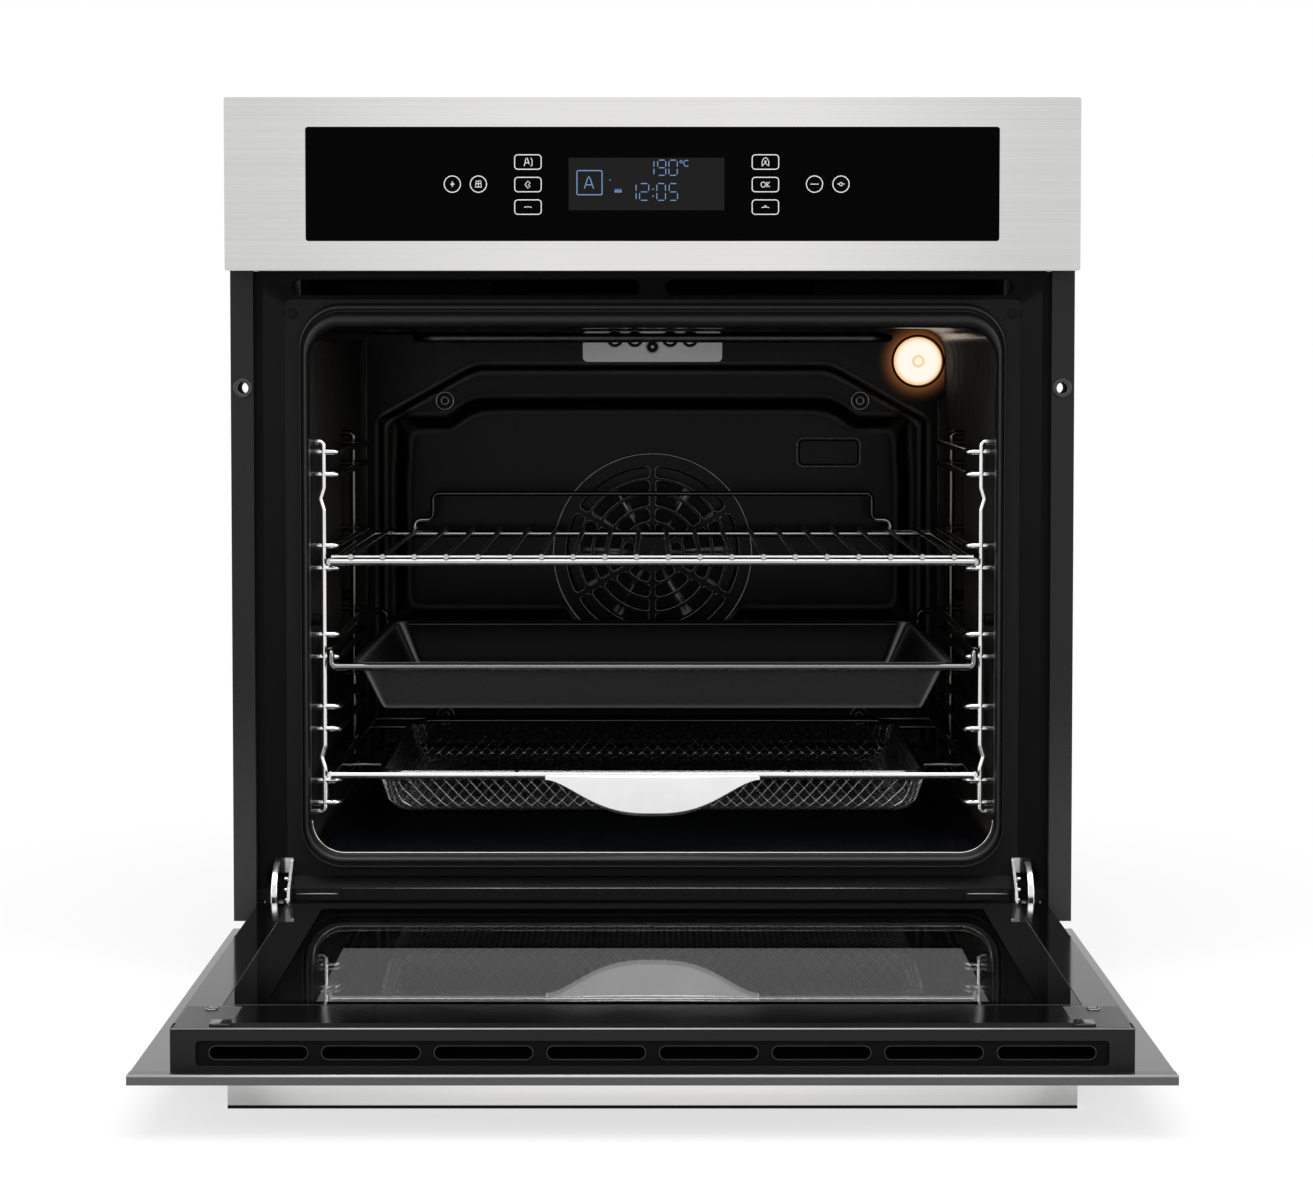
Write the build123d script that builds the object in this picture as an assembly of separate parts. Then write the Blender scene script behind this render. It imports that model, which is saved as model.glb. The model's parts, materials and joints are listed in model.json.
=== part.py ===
from build123d import *
import os
from math import cos, radians, sin, sqrt

# A built-in electric oven with its drop-down door open, in millimetres.
# X runs to the viewer's right, Y into the oven, Z up.
# The origin is on the centre plane, on the underside of the base,
# straight below the front of the flanges that meet the cabinet.

# Overall sizes
oven_width = 595.0
oven_height = 595.0
fascia_height = 120.0
body_side_margin = 19.5
body_top_margin = 6.0
body_depth = 548.0
panel_sheet = 0.8
base_sheet = 1.0
base_nose = 3.0
base_edge = 18.0

# Door and its hinge line, measured on the closed door
door_thickness = 30.0
hinge_to_face = 18.0
hinge_to_edge = 6.0
hinge_height = 23.0
hinge_forward = 6.0
door_gap = 2.5
door_overhang = 12.5
door_side_gap = 0.5
recess_gap = 1.0
seal_gap = 0.3

# Flanges that meet the cabinet
flange_face = 16.0
flange_margin = 0.5
flange_sheet = 1.2
flange_foot = 15.0
bush_height = 393.0
bush_inset = 8.5
bush_ring_radius = 6.8
bush_sleeve_radius = 5.5
bush_bore_radius = 4.0
bush_ring_height = 1.5
bush_round = 0.6

# Recessed front frame around the cavity
step_width = 6.0
slope_side = 14.5
slope_top = 15.5
slope_bottom = 8.0
recess_depth = 8.0
step_corner = 10.0
plate_corner = 4.0
frame_sheet = 1.2
frame_foot_height = 22.0
outlet_height = 11.0
outlet_web = 18.0
outlet_drop = 7.0
slope_margin = 4.0

# Cavity mouth, seal and liner
mouth_side_margin = 35.0
mouth_bottom = 61.0
mouth_top_margin = 20.0
mouth_corner = 23.0
plate_sheet = 1.0
gasket_side = 7.5
gasket_top = 17.4
gasket_bottom = 10.5
gasket_round = 3.0
side_lip = 3.0
floor_lip = 1.0
ceiling_lip = 1.5
liner_sheet = 0.8
cavity_depth = 416.0
bump_radius = 3.5
bump_height = 2.0
bump_spacing = 10.0
bump_rise = 5.0
insulation_side = 22.0
insulation_bottom = 22.0

# Fan, its cover plate and its ring heater
fan_height = 250.0
cover_depth = 22.0
cover_ledge = 8.0
cover_sheet = 1.2
cover_taper = 30.0
ledge_side_margin = 11.0
ledge_top_margin = 27.0
ledge_foot = 82.0
ledge_shoulder_x = 82.0
ledge_shoulder_z = 46.0
panel_side_margin = 30.0
panel_top_margin = 41.0
panel_foot = 206.0
shoulder_drop = 15.5
shoulder_flat = 35.0
shoulder_run = 19.0
wall_run = 14.0
dome_radius = 85.0
panel_corner = 8.0
grille_radius = 82.0
grille_ring = 2.2
grille_proud = 1.2
slot_rows = [(76.0, 66.5), (64.5, 56.0), (52.5, 44.5), (42.0, 33.0), (30.0, 21.0)]
spokes = 6
spoke_width = 5.0
badge_side_margin = 55.0
badge_drop = 33.5
badge_length = 49.0
badge_height = 20.0
badge_depth = 0.6
badge_corner = 5.0
impeller_radius = 60.0
impeller_depth = 13.0
impeller_blades = 12
blade_root = 27.0
blade_tip_gap = 1.0
blade_sheet = 1.5
hub_radius = 9.0
shaft_radius = 4.0
running_gap = 0.05
shaft_hole_gap = 2.0
cover_clearance = 2.0
ring_heater_radius = 74.0
ring_heater_setback = 12.0
ring_leg_radius = 2.6
ring_leg_x = 12.0
heater_radius = 3.2
motor_radius = 38.0
motor_length = 45.0
motor_flange = 110.0
motor_flange_sheet = 1.5
bore_floor = 4.0
shaft_end_gap = 1.0
cover_screw_inset = 58.0
cover_screw_drop = 31.5
cover_screw_foot = 30.0
washer_radius = 7.5
washer_sheet = 1.0
hex_head_radius = 4.5
hex_head_height = 3.0

# Grill, lower heater, lamp and rivets
heater_hang = 8.3
heater_gap = 0.1
terminal_inner = 14.8
terminal_pitch = 16.7
terminal_plate_half = 58.5
terminal_plate_drop = 27.5
terminal_sheet = 1.5
terminal_corner = 4.0
grill_front = 75.0
grill_side_margin = 70.0
grill_inner_half = 110.0
grill_bend = 22.0
grill_outer_turn = 0.8
grill_inner_turn = 0.6
grill_inner_start = 0.2
lower_heater_side = 40.0
lower_heater_front = 50.0
lower_heater_rear = 20.0
lower_heater_end = 30.0
lower_heater_turn = 60.0
lamp_inset = 20.0
lamp_drop = 27.0
lamp_radius = 20.0
lens_proud = 7.0
lens_wall = 2.5
bulb_radius = 7.0
lamp_length = 42.0
lamp_floor = 4.0
bulb_stem_radius = 5.6
bulb_stem_length = 12.0
bulb_length = 14.0
bulb_round = 6.0
lens_round = 5.6
stud_radius = 4.5

# Wire racks and what slides in them
rack_rod_radius = 2.5
rung_radius = 2.4
rack_rod_inset = 9.5
rung_inset = 20.2
rack_front = 42.0
rack_rear = 268.0
rack_low = 87.0
rack_high = 354.0
rung_heights = [93.5, 147.0, 199.0, 263.0, 330.5]
rung_pair = 16.2
rung_bend = 6.0
kink_heights = [127.0, 313.0]
kink_depth = 2.5
kink_half = 8.0
kink_bend = 3.0
stud_gap = 0.3
rack_stud_height = 226.0
rail_radius = 2.75
side_gap = 0.75
seat_gap = 0.1
tray_front = 30.0
tray_rear = 375.0
slide_level_shelf = 3
slide_level_pan = 2
cross_wire_radius = 1.9
cross_wires = 20
cross_pitch = 22.7
wire_bite = 0.8
guard_inset = 49.5
guard_height = 33.0
guard_foot = 15.0
guard_drop = 21.5
guard_bend = 5.0
stop_wire_back = 8.25
pan_side_gap = 1.15
pan_taper_side = 26.0
pan_rim_width = 7.0
pan_depth = 37.0
pan_wall = 1.2
pan_taper_front = 18.0
pan_corner = 22.0
carrier_drop = 11.3
carrier_bend = 4.0
basket_inset = 48.0
basket_front = 42.0
basket_rear = 362.0
basket_depth = 28.0
basket_corner = 22.0
basket_wall = 1.2
basket_rim_radius = 2.0
basket_tie_radius = 1.8
basket_tie_inset = 44.0
basket_tie_x = 98.0
net_columns = 20
net_rows = 12
net_gap = 14.0
net_margin = 30.0
front_net_columns = 24
front_net_gap = 11.0
front_net_height = 18.0
handle_plate_half = 77.0
handle_plate_height = 29.0
handle_plate_sheet = 1.5
handle_plate_shoulder = 42.0
handle_plate_pull = 19.0
handle_plate_edge = 2.3

# Door build-up
outer_glass = 4.0
edge_trim_sheet = 0.7
edge_trim_depth = 12.0
inner_glass = 4.0
middle_glass = 4.0
door_frame_start = 28.0
door_frame_wall = 2.0
glass_ledge = 2.0
inner_glass_margin = 21.5
inner_glass_start = 42.0
inner_glass_end = 381.0
inner_window_border = 25.0
inner_window_start = 62.0
inner_window_end = 370.0
middle_glass_margin = 10.0
vent_trim_depth = 14.0
vent_slots = 8
vent_end_margin = 3.6
vent_bar = 7.7
vent_height = 8.0
vent_offset = 15.5
vent_band_margin = 14.5
vent_band_height = 14.5
vent_band_depth = 1.5
vent_band_corner = 2.4
clip_width = 32.0
clip_start = 384.0
clip_thickness = 3.0
clip_margin = 1.5
clip_hole_radius = 2.2
clip_hole_inset = 8.8
fit_gap = 0.1

# Hinges
hinge_width = 13.0
hinge_margin = 6.0
cheek_sheet = 2.0
web_sheet = 2.0
arm_sheet = 3.0
pin_radius = 3.0
eye_radius = 8.0
arm_length = 130.0
arm_height = 12.0
arm_foot_sheet = 1.5
bracket_top = 58.0
bracket_seat = 47.5
claw_top = 39.0
claw_front = 10.0
claw_throat_z = 38.0
notch_length = 13.0
notch_gap = 2.0
strip_reach = 34.0
strip_height = 8.5
strip_sheet = 1.2

# Handle
handle_length = 500.0
handle_from_top = 80.0
handle_bar_width = 16.0
handle_bar_height = 13.0
handle_reach = 18.7
handle_round = 1.5
post_inset = 35.0
post_width = 18.0
post_depth = 12.0
screw_radius = 2.4
screw_clearance = 0.1
glass_hole_gap = 0.6
screw_head_radius = 4.4
screw_head_height = 2.4
screw_bite = 13.0
screw_tip_gap = 1.0

# Control panel
fascia_sheet = 1.0
fascia_corner = 1.6
glass_side_margin = 56.5
glass_margin = 20.5
control_glass = 4.0
glass_corner = 2.0
glass_seat = 6.0
display_half = 54.0
display_height = 36.3
display_depth = 10.0
display_centre = 4.2
board_margin = 51.0
board_height = 60.0
board_sheet = 1.6
crossbar_sheet = 1.2

# Cooling air and rear of the body
duct_margin = 28.0
duct_height = 20.0
duct_length = 290.0
duct_sheet = 0.8
blower_half = 130.0
blower_size = 84.0
rotor_radius = 32.0
rotor_end_gap = 20.0
rotor_blades = 16
rotor_shaft_radius = 4.0
rotor_disc = 1.5
blower_motor_radius = 28.0
blower_motor_length = 50.0
rotor_blade_width = 7.5
rotor_rim = 0.5
terminal_box_x = -170.0
terminal_box_z = 90.0
terminal_box_width = 80.0
terminal_box_height = 60.0
terminal_box_depth = 24.0
terminal_box_wall = 2.0
gland_radius = 6.0
louvre_count = 10
louvre_pitch = 22.0
louvre_length = 60.0
louvre_height = 5.0
louvre_drop = 70.0
louvre_inset = 90.0
body_screw_radius = 3.5
body_screw_height = 2.0
body_screw_inset = 12.0
body_screw_shares = [0.06, 0.35, 0.65, 0.94]

# Places that follow from the sizes above
fascia_bottom = oven_height - fascia_height
body_half = oven_width / 2 - body_side_margin
body_height = oven_height - body_top_margin
body_inner = body_half - panel_sheet
flange_outer = oven_width / 2 - flange_margin
flange_inner = flange_outer - flange_face
bush_x = flange_outer - bush_inset

door_edge_height = hinge_height - hinge_to_edge
door_length = fascia_bottom - door_gap - door_edge_height
door_face_y = -hinge_forward - hinge_to_face
door_inner_y = door_face_y + door_thickness
fascia_front = door_face_y
step_y = door_inner_y + recess_gap
plate_y = step_y + recess_depth
gasket_y = door_inner_y + seal_gap
slope_half = flange_inner - step_width
plate_half = slope_half - slope_side
plate_top = fascia_bottom - slope_margin - slope_top
plate_bottom = flange_foot + frame_foot_height + slope_bottom
slope_high = plate_top + slope_top
slope_low = plate_bottom - slope_bottom
hinge_outer = slope_half - hinge_margin
hinge_inner = hinge_outer - hinge_width
strip_inner = hinge_inner - strip_reach

liner_y = plate_y + plate_sheet
mouth_half = body_half - mouth_side_margin
mouth_top = plate_top - mouth_top_margin
cavity_half = mouth_half + side_lip
cavity_floor = mouth_bottom - floor_lip
cavity_ceiling = mouth_top + ceiling_lip
cavity_back = liner_y + cavity_depth
liner_back = cavity_back + liner_sheet
cover_front = cavity_back - cover_depth
ledge_front = cavity_back - cover_ledge
ledge_half = mouth_half - ledge_side_margin
ledge_top = mouth_top - ledge_top_margin
panel_half = ledge_half - panel_side_margin
panel_top = ledge_top - panel_top_margin
badge_x = panel_half - badge_side_margin
badge_z = panel_top - badge_drop
cover_screw_x = ledge_half - cover_screw_inset
insulation_back = liner_back + insulation_side
lower_heater_z = cavity_floor - liner_sheet - heater_gap - heater_radius
insulation_floor = lower_heater_z - heater_radius
grill_z = cavity_ceiling - heater_hang
lamp_z = cavity_ceiling - lamp_drop
terminal_plate_top = grill_z + 2 * heater_radius
terminal_plate_foot = cavity_ceiling - terminal_plate_drop
lamp_x = mouth_half - lamp_inset
grill_outer_half = mouth_half - grill_side_margin

rack_rod_x = cavity_half - rack_rod_inset
rung_x = cavity_half - rung_inset
rail_x = rack_rod_x - rack_rod_radius - side_gap - rail_radius
rail_rise = rung_radius + seat_gap + rail_radius
shelf_z = rung_heights[slide_level_shelf] + rail_rise
carrier_z = rung_heights[slide_level_pan] + rail_rise
basket_z = rung_heights[0] + rung_pair + rail_rise
carrier_low_z = carrier_z - carrier_drop
pan_rim_z = carrier_low_z + rail_radius
carrier_drop_x = rung_x - rung_radius - side_gap - rail_radius
guard_half = rail_x - guard_inset
pan_rim_half = carrier_drop_x - rail_radius - pan_side_gap
pan_bottom_half = pan_rim_half - pan_taper_side
basket_half = cavity_half - basket_inset

frame_half = slope_half - door_side_gap
frame_end = door_length - door_overhang
inner_glass_half = frame_half - inner_glass_margin
inner_window_half = inner_glass_half - inner_window_border
vent_band_half = frame_half - vent_band_margin
vent_pitch = 2 * (vent_band_half - vent_end_margin) / vent_slots
vent_length = vent_pitch - vent_bar
clip_inner = frame_half - clip_margin - clip_width
glass_top = outer_glass + edge_trim_sheet
pocket_floor = door_thickness - inner_glass
ledge_floor = pocket_floor - glass_ledge
handle_place = door_length - handle_from_top
post_half_spacing = handle_length / 2 - post_inset

outlet_z = slope_high - outlet_drop
duct_floor = outlet_z - duct_height / 2
blower_front = liner_y + duct_length
blower_axis_y = blower_front + blower_size / 2
blower_axis_z = duct_floor + blower_size / 2
duct_half = body_half - duct_margin
rotor_half = blower_half - rotor_end_gap
impeller_front = cover_front + cover_sheet + cover_clearance
panel_middle = (fascia_bottom + oven_height) / 2
glass_half = oven_width / 2 - glass_side_margin
board_half = glass_half - board_margin


def block(x0, x1, y0, y1, z0, z1):
    """A rectangular block between two opposite corners."""
    centre = Pos((x0 + x1) / 2, (y0 + y1) / 2, (z0 + z1) / 2)
    return centre * Box(x1 - x0, y1 - y0, z1 - z0)


def front_plate(sketch, y0, y1):
    """A sketch in x and z, given thickness from y0 back to y1."""
    return extrude(Plane.XZ.offset(-y1) * sketch, y1 - y0)


def side_plate(sketch, x0, x1):
    """A sketch in y and z, given thickness from x0 to x1."""
    return extrude(Plane.YZ.offset(x0) * sketch, x1 - x0)


def floor_plate(sketch, z0, z1):
    """A sketch in x and y, given thickness from z0 up to z1."""
    return extrude(Plane.XY.offset(z0) * sketch, z1 - z0)


def rounded(half, low, high, corner):
    """A rounded rectangle centred on the middle plane, from low to high."""
    return Pos(0, (low + high) / 2) * RectangleRounded(2 * half, high - low, corner)


def disc(x, y0, y1, z, radius):
    """A round bar along Y."""
    return front_plate(Pos(x, z) * Circle(radius), y0, y1)


def cross_bar(x0, x1, y, z, radius):
    """A round bar along X."""
    return side_plate(Pos(y, z) * Circle(radius), x0, x1)


def wire(points, radius, bend):
    """A round wire through points, with every bend of one radius."""
    path = FilletPolyline(*points, radius=bend) if len(points) > 2 else Line(*points)
    return sweep(Plane(origin=path @ 0, z_dir=path % 0) * Circle(radius), path=path)


def mirrored(solid):
    """The same piece on the other side of the middle plane."""
    return mirror(solid, about=Plane.YZ)


def both_sides(solid):
    """A piece and its mirror image, as one group."""
    return Compound(children=[solid, mirrored(solid)])


def door_y(along):
    """Y of a point on the open door, measured from the door's lower edge."""
    return hinge_to_edge - hinge_forward - along


def door_z(depth):
    """Z of a point on the open door, measured from the door's outer face."""
    return hinge_height - hinge_to_face + depth


def door_block(x0, x1, along0, along1, depth0, depth1):
    """A block on the open door."""
    return block(x0, x1, door_y(along1), door_y(along0), door_z(depth0), door_z(depth1))


# Body panels
def base_tray():
    """Bottom sheet of the body with upturned side edges."""
    floor = block(-body_inner, body_inner, -base_nose, body_depth - panel_sheet, 0, base_sheet)
    edge = block(body_inner - base_sheet, body_inner, liner_y, body_depth - panel_sheet, base_sheet, base_edge)
    return floor + edge + mirrored(edge)


def side_panel():
    """Right side sheet of the body."""
    return block(body_inner, body_half, step_y + frame_sheet, body_depth, 0, body_height)


def rear_panel():
    """Rear sheet with rows of air louvres and a hole behind the terminal box."""
    sheet = block(-body_inner, body_inner, body_depth - panel_sheet, body_depth, 0, body_height)
    slots = [
        Pos(side * body_half / 2, body_height - louvre_drop - louvre_pitch * row)
        * SlotOverall(louvre_length, louvre_height)
        for side in (-1, 1)
        for row in range(louvre_count)
    ]
    entry = Pos(terminal_box_x, terminal_box_z) * Circle(gland_radius)
    return sheet - front_plate(Sketch() + slots + entry, body_depth - panel_sheet, body_depth)


def top_cover():
    """Top sheet with a row of air louvres near the rear."""
    sheet = block(-body_inner, body_inner, flange_sheet + crossbar_sheet, body_depth - panel_sheet,
                  body_height - panel_sheet, body_height)
    slots = [
        Pos(louvre_pitch * (col - (louvre_count - 1) / 2), body_depth - louvre_inset)
        * SlotOverall(louvre_length, louvre_height, rotation=90)
        for col in range(louvre_count)
    ]
    return sheet - floor_plate(Sketch() + slots, body_height - panel_sheet, body_height)


def insulation():
    """Mineral wool jacket round the cavity, with a way through for shaft and lamp."""
    inner = cavity_half + liner_sheet
    roof = cavity_ceiling + liner_sheet
    start = liner_y + plate_sheet
    jacket = block(-inner - insulation_side, inner + insulation_side, start, insulation_back,
                   insulation_floor - insulation_bottom, duct_floor)
    jacket -= block(-inner, inner, start, liner_back, insulation_floor, roof)
    jacket -= disc(0, liner_back, insulation_back, fan_height, shaft_radius + shaft_hole_gap)
    jacket -= disc(lamp_x, liner_back, insulation_back, lamp_z, lamp_radius + fit_gap)
    return jacket


def round_head(y0, x, z):
    """Round-head screw head that faces forward and ends at y0."""
    return disc(x, y0 - body_screw_height, y0, z, body_screw_radius)


def round_head_screws():
    """The small round-head screws of the body, the cavity front plate and the grill plate."""
    heights = [body_height * share for share in body_screw_shares]
    depths = [body_depth - body_screw_inset, body_depth / 2, step_y + frame_sheet + body_screw_inset]
    heads = [
        cross_bar(body_half, body_half + body_screw_height, depth, height, body_screw_radius)
        for depth in depths
        for height in heights
    ]
    margin = (plate_half - mouth_half - gasket_side) / 2
    heads.append(round_head(plate_y, plate_half - margin, plate_top - 2 * margin))
    middle = round_head(cavity_back - terminal_sheet, 0, grill_z)
    return Compound(children=heads + [mirrored(head) for head in heads] + [middle])


# Front of the body
def flange():
    """Right front flange that meets the cabinet, folded back at its inner edge."""
    face = block(flange_inner, flange_outer, 0, flange_sheet, flange_foot, body_height)
    fold = block(flange_inner, flange_inner + flange_sheet, 0, step_y, flange_foot, body_height)
    hole = disc(bush_x, 0, flange_sheet, bush_height, bush_sleeve_radius)
    return face + fold - hole


def bush():
    """Right plastic bush that lines the screw hole of the flange."""
    ring = disc(bush_x, -bush_ring_height, 0, bush_height, bush_ring_radius)
    sleeve = disc(bush_x, 0, flange_sheet, bush_height, bush_sleeve_radius)
    bore = disc(bush_x, -bush_ring_height, flange_sheet, bush_height, bush_bore_radius)
    return fillet((ring + sleeve - bore).edges().group_by(Axis.Y)[0], bush_round)


def front_frame():
    """Dished frame round the cavity front, with two air outlets along its top."""
    step = block(-flange_inner - flange_sheet, flange_inner + flange_sheet, step_y, step_y + frame_sheet,
                 flange_foot, fascia_bottom)
    ring = block(-body_inner, body_inner, step_y + frame_sheet, liner_y, flange_foot, fascia_bottom)
    outer = Plane.XZ.offset(-step_y) * rounded(slope_half, slope_low, slope_high, step_corner)
    inner = Plane.XZ.offset(-plate_y) * rounded(plate_half, plate_bottom, plate_top, plate_corner)
    dish = loft([outer, inner])
    through = front_plate(rounded(plate_half, plate_bottom, plate_top, plate_corner), plate_y, liner_y)
    outlet_length = slope_half - outlet_web / 2 - 2 * step_corner
    outlet = Pos((outlet_web + outlet_length) / 2, outlet_z) * SlotOverall(outlet_length, outlet_height)
    outlets = front_plate(outlet + mirror(outlet, about=Plane.YZ), step_y, liner_y)
    bracket_room = block(hinge_inner - fit_gap, hinge_outer + fit_gap, step_y, liner_y,
                         slope_low, bracket_top + fit_gap)
    return step + ring - dish - through - outlets - bracket_room - mirrored(bracket_room)


def crossbar():
    """Plate behind the control panel that joins the two flanges."""
    return block(-flange_inner, flange_inner, flange_sheet, flange_sheet + crossbar_sheet,
                 fascia_bottom, body_height)


def cavity_front_plate():
    """Enamelled plate round the cavity mouth."""
    sheet = rounded(plate_half, plate_bottom, plate_top, plate_corner)
    mouth = rounded(mouth_half, mouth_bottom, mouth_top, mouth_corner)
    return front_plate(sheet - mouth, plate_y, liner_y)


def door_gasket():
    """Rubber seal round the cavity mouth."""
    outer = rounded(mouth_half + gasket_side, mouth_bottom - gasket_bottom, mouth_top + gasket_top,
                    mouth_corner + gasket_side)
    ring = front_plate(outer - rounded(mouth_half, mouth_bottom, mouth_top, mouth_corner), gasket_y, plate_y)
    return fillet(ring.edges().group_by(Axis.Y)[0], gasket_round)


# Cavity
def liner_box(grow, y0, y1):
    """The cavity's box, grown outward by one amount."""
    section = rounded(cavity_half + grow, cavity_floor - grow, cavity_ceiling + grow, mouth_corner + grow)
    return front_plate(section, y0, y1)


def cavity_liner():
    """Enamelled box of the cavity with its rear holes and two bumps."""
    shell = liner_box(liner_sheet, liner_y, liner_back) - liner_box(0, liner_y, cavity_back)
    shell -= disc(0, cavity_back, liner_back, fan_height, shaft_radius + shaft_hole_gap)
    shell -= disc(lamp_x, cavity_back, liner_back, lamp_z, lamp_radius - lens_wall)
    terminals = [Pos(x, grill_z) * Circle(heater_radius + fit_gap) for x in terminal_places()]
    shell -= front_plate(Sketch() + terminals, cavity_back, liner_back)
    bumps = [
        disc(-lamp_x + side * bump_spacing / 2, cavity_back - bump_height, cavity_back,
             lamp_z + bump_rise, bump_radius)
        for side in (-1, 1)
    ]
    return shell + bumps


def terminal_places():
    """X of the four ends of the grill heaters."""
    outer = terminal_inner + terminal_pitch
    return [-outer, -terminal_inner, terminal_inner, outer]


def ledge_outline(shrink):
    """Outline of the fan cover's ledge, with slanted upper corners."""
    half = ledge_half - shrink
    foot = ledge_foot + shrink
    top = ledge_top - shrink
    points = [(-half, foot), (half, foot), (half, top - ledge_shoulder_z), (half - ledge_shoulder_x, top),
              (ledge_shoulder_x - half, top), (-half, top - ledge_shoulder_z)]
    return fillet(make_face(Polyline(*points, close=True)).vertices(), panel_corner)


def panel_outline(grow):
    """Outline of the raised panel, whose upper edge steps down at both ends."""
    half = panel_half + grow
    foot = panel_foot - grow
    top = panel_top + grow
    low = top - shoulder_drop
    flat = panel_half - shoulder_flat
    peak = flat - shoulder_run
    points = [(-half, foot), (half, foot), (half, low), (flat, low), (peak, top),
              (-peak, top), (-flat, low), (-half, low)]
    return fillet(make_face(Polyline(*points, close=True)).vertices(), panel_corner)


def cover_body(shrink):
    """The two-step dome of the fan cover, drawn in by one sheet for its hollow."""
    foot = Plane.XZ.offset(-cavity_back) * ledge_outline(shrink)
    low = extrude(foot, cover_ledge - shrink, taper=cover_taper)
    front = Plane.XZ.offset(-cover_front - shrink)
    back = Plane.XZ.offset(-ledge_front - shrink)
    panel = loft([back * panel_outline(wall_run - shrink), front * panel_outline(-shrink)])
    hub = Pos(0, fan_height)
    dome = loft([back * hub * Circle(dome_radius + wall_run - shrink),
                 front * hub * Circle(dome_radius - shrink)])
    return low + panel + dome


def fan_cover():
    """Enamelled plate over the fan, with a round grille of curved slots."""
    plate = cover_body(0) - cover_body(cover_sheet)
    hub = Pos(0, fan_height)
    ring = hub * (Circle(grille_radius) - Circle(grille_radius - grille_ring))
    plate += front_plate(ring, cover_front - grille_proud, cover_front + cover_sheet / 2)
    slots = Sketch()
    for outer, inner in slot_rows:
        middle = (outer + inner) / 2
        width = outer - inner
        shy = (spoke_width / 2 + width / 2) / middle
        for spoke in range(spokes):
            start = radians(90 + 360 / spokes * spoke) + shy
            end = radians(90 + 360 / spokes * (spoke + 1)) - shy
            ends = [(middle * cos(a), middle * sin(a)) for a in (start, (start + end) / 2, end)]
            slots += hub * SlotArc(ThreePointArc(*ends), width)
    plate -= front_plate(slots, cover_front, cover_front + cover_sheet)
    badge = Pos(badge_x, badge_z) * RectangleRounded(badge_length, badge_height, badge_corner)
    return plate - front_plate(badge, cover_front, cover_front + badge_depth)


def cover_screw(x, z):
    """One flanged screw on the fan cover's ledge."""
    seat = ledge_front - washer_sheet
    washer = disc(x, seat, ledge_front, z, washer_radius)
    head = front_plate(Pos(x, z) * RegularPolygon(hex_head_radius, 6), seat - hex_head_height, seat)
    return washer + head


def cover_screws():
    """Flanged screws that hold the fan cover's ledge."""
    heights = (ledge_top - cover_screw_drop, ledge_foot + cover_screw_foot)
    heads = [cover_screw(cover_screw_x, z) for z in heights]
    return Compound(children=heads + [mirrored(head) for head in heads])


def fan_impeller():
    """Pressed fan wheel: a back disc, straight blades and a hub."""
    back = impeller_front + impeller_depth
    wheel = disc(0, back - blade_sheet, back, fan_height, impeller_radius)
    wheel += disc(0, impeller_front, back, fan_height, hub_radius)
    blade = block(-blade_sheet / 2, blade_sheet / 2, impeller_front, back - blade_sheet / 2,
                  blade_root, impeller_radius - blade_tip_gap)
    for number in range(impeller_blades):
        wheel += Pos(0, 0, fan_height) * Rot(0, 360 / impeller_blades * number, 0) * blade
    return wheel - disc(0, impeller_front, back, fan_height, shaft_radius)


def fan_shaft():
    """Steel shaft between the fan wheel and its motor."""
    end = insulation_back + motor_length - bore_floor - shaft_end_gap
    return disc(0, impeller_front, end, fan_height, shaft_radius)


def fan_motor():
    """Fan motor on a square flange behind the insulation."""
    end = insulation_back + motor_length
    flange_plate = block(-motor_flange / 2, motor_flange / 2, insulation_back, insulation_back + motor_flange_sheet,
                         fan_height - motor_flange / 2, fan_height + motor_flange / 2)
    can = disc(0, insulation_back, end, fan_height, motor_radius)
    bore = disc(0, insulation_back, end - bore_floor, fan_height, shaft_radius + running_gap)
    return flange_plate + can - bore


def ring_heater():
    """Round heater behind the fan cover, with two legs to the back wall."""
    place = cover_front + ring_heater_setback
    ring = Pos(0, place, fan_height) * Rot(90, 0, 0) * Torus(ring_heater_radius, heater_radius)
    leg_z = fan_height + sqrt(ring_heater_radius ** 2 - ring_leg_x ** 2)
    leg = disc(ring_leg_x, place, cavity_back, leg_z, ring_leg_radius)
    return ring + leg + mirrored(leg)


def grill_loop(half, end_x, turn_y, front):
    """One bent grill heater, from the back wall forward, across and back."""
    points = [(-end_x, liner_back, grill_z), (-end_x, turn_y, grill_z), (-half, turn_y, grill_z),
              (-half, front, grill_z), (half, front, grill_z), (half, turn_y, grill_z),
              (end_x, turn_y, grill_z), (end_x, liner_back, grill_z)]
    return wire(points, heater_radius, grill_bend)


def grill_heater():
    """Two nested grill heaters under the cavity ceiling."""
    inner_end, outer_end = terminal_places()[2:]
    depth = cavity_back - grill_front
    outer = grill_loop(grill_outer_half, outer_end, grill_front + depth * grill_outer_turn, grill_front)
    inner = grill_loop(grill_inner_half, inner_end, grill_front + depth * grill_inner_turn,
                       grill_front + depth * grill_inner_start)
    return Compound(children=[outer, inner])


def terminal_plate():
    """Bright plate at the back wall that carries the grill heater ends."""
    sheet = Pos(0, (terminal_plate_foot + terminal_plate_top) / 2) * RectangleRounded(
        2 * terminal_plate_half, terminal_plate_top - terminal_plate_foot, terminal_corner)
    holes = [Pos(x, grill_z) * Circle(heater_radius) for x in terminal_places()]
    return front_plate(sheet - holes, cavity_back - terminal_sheet, cavity_back)


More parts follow.
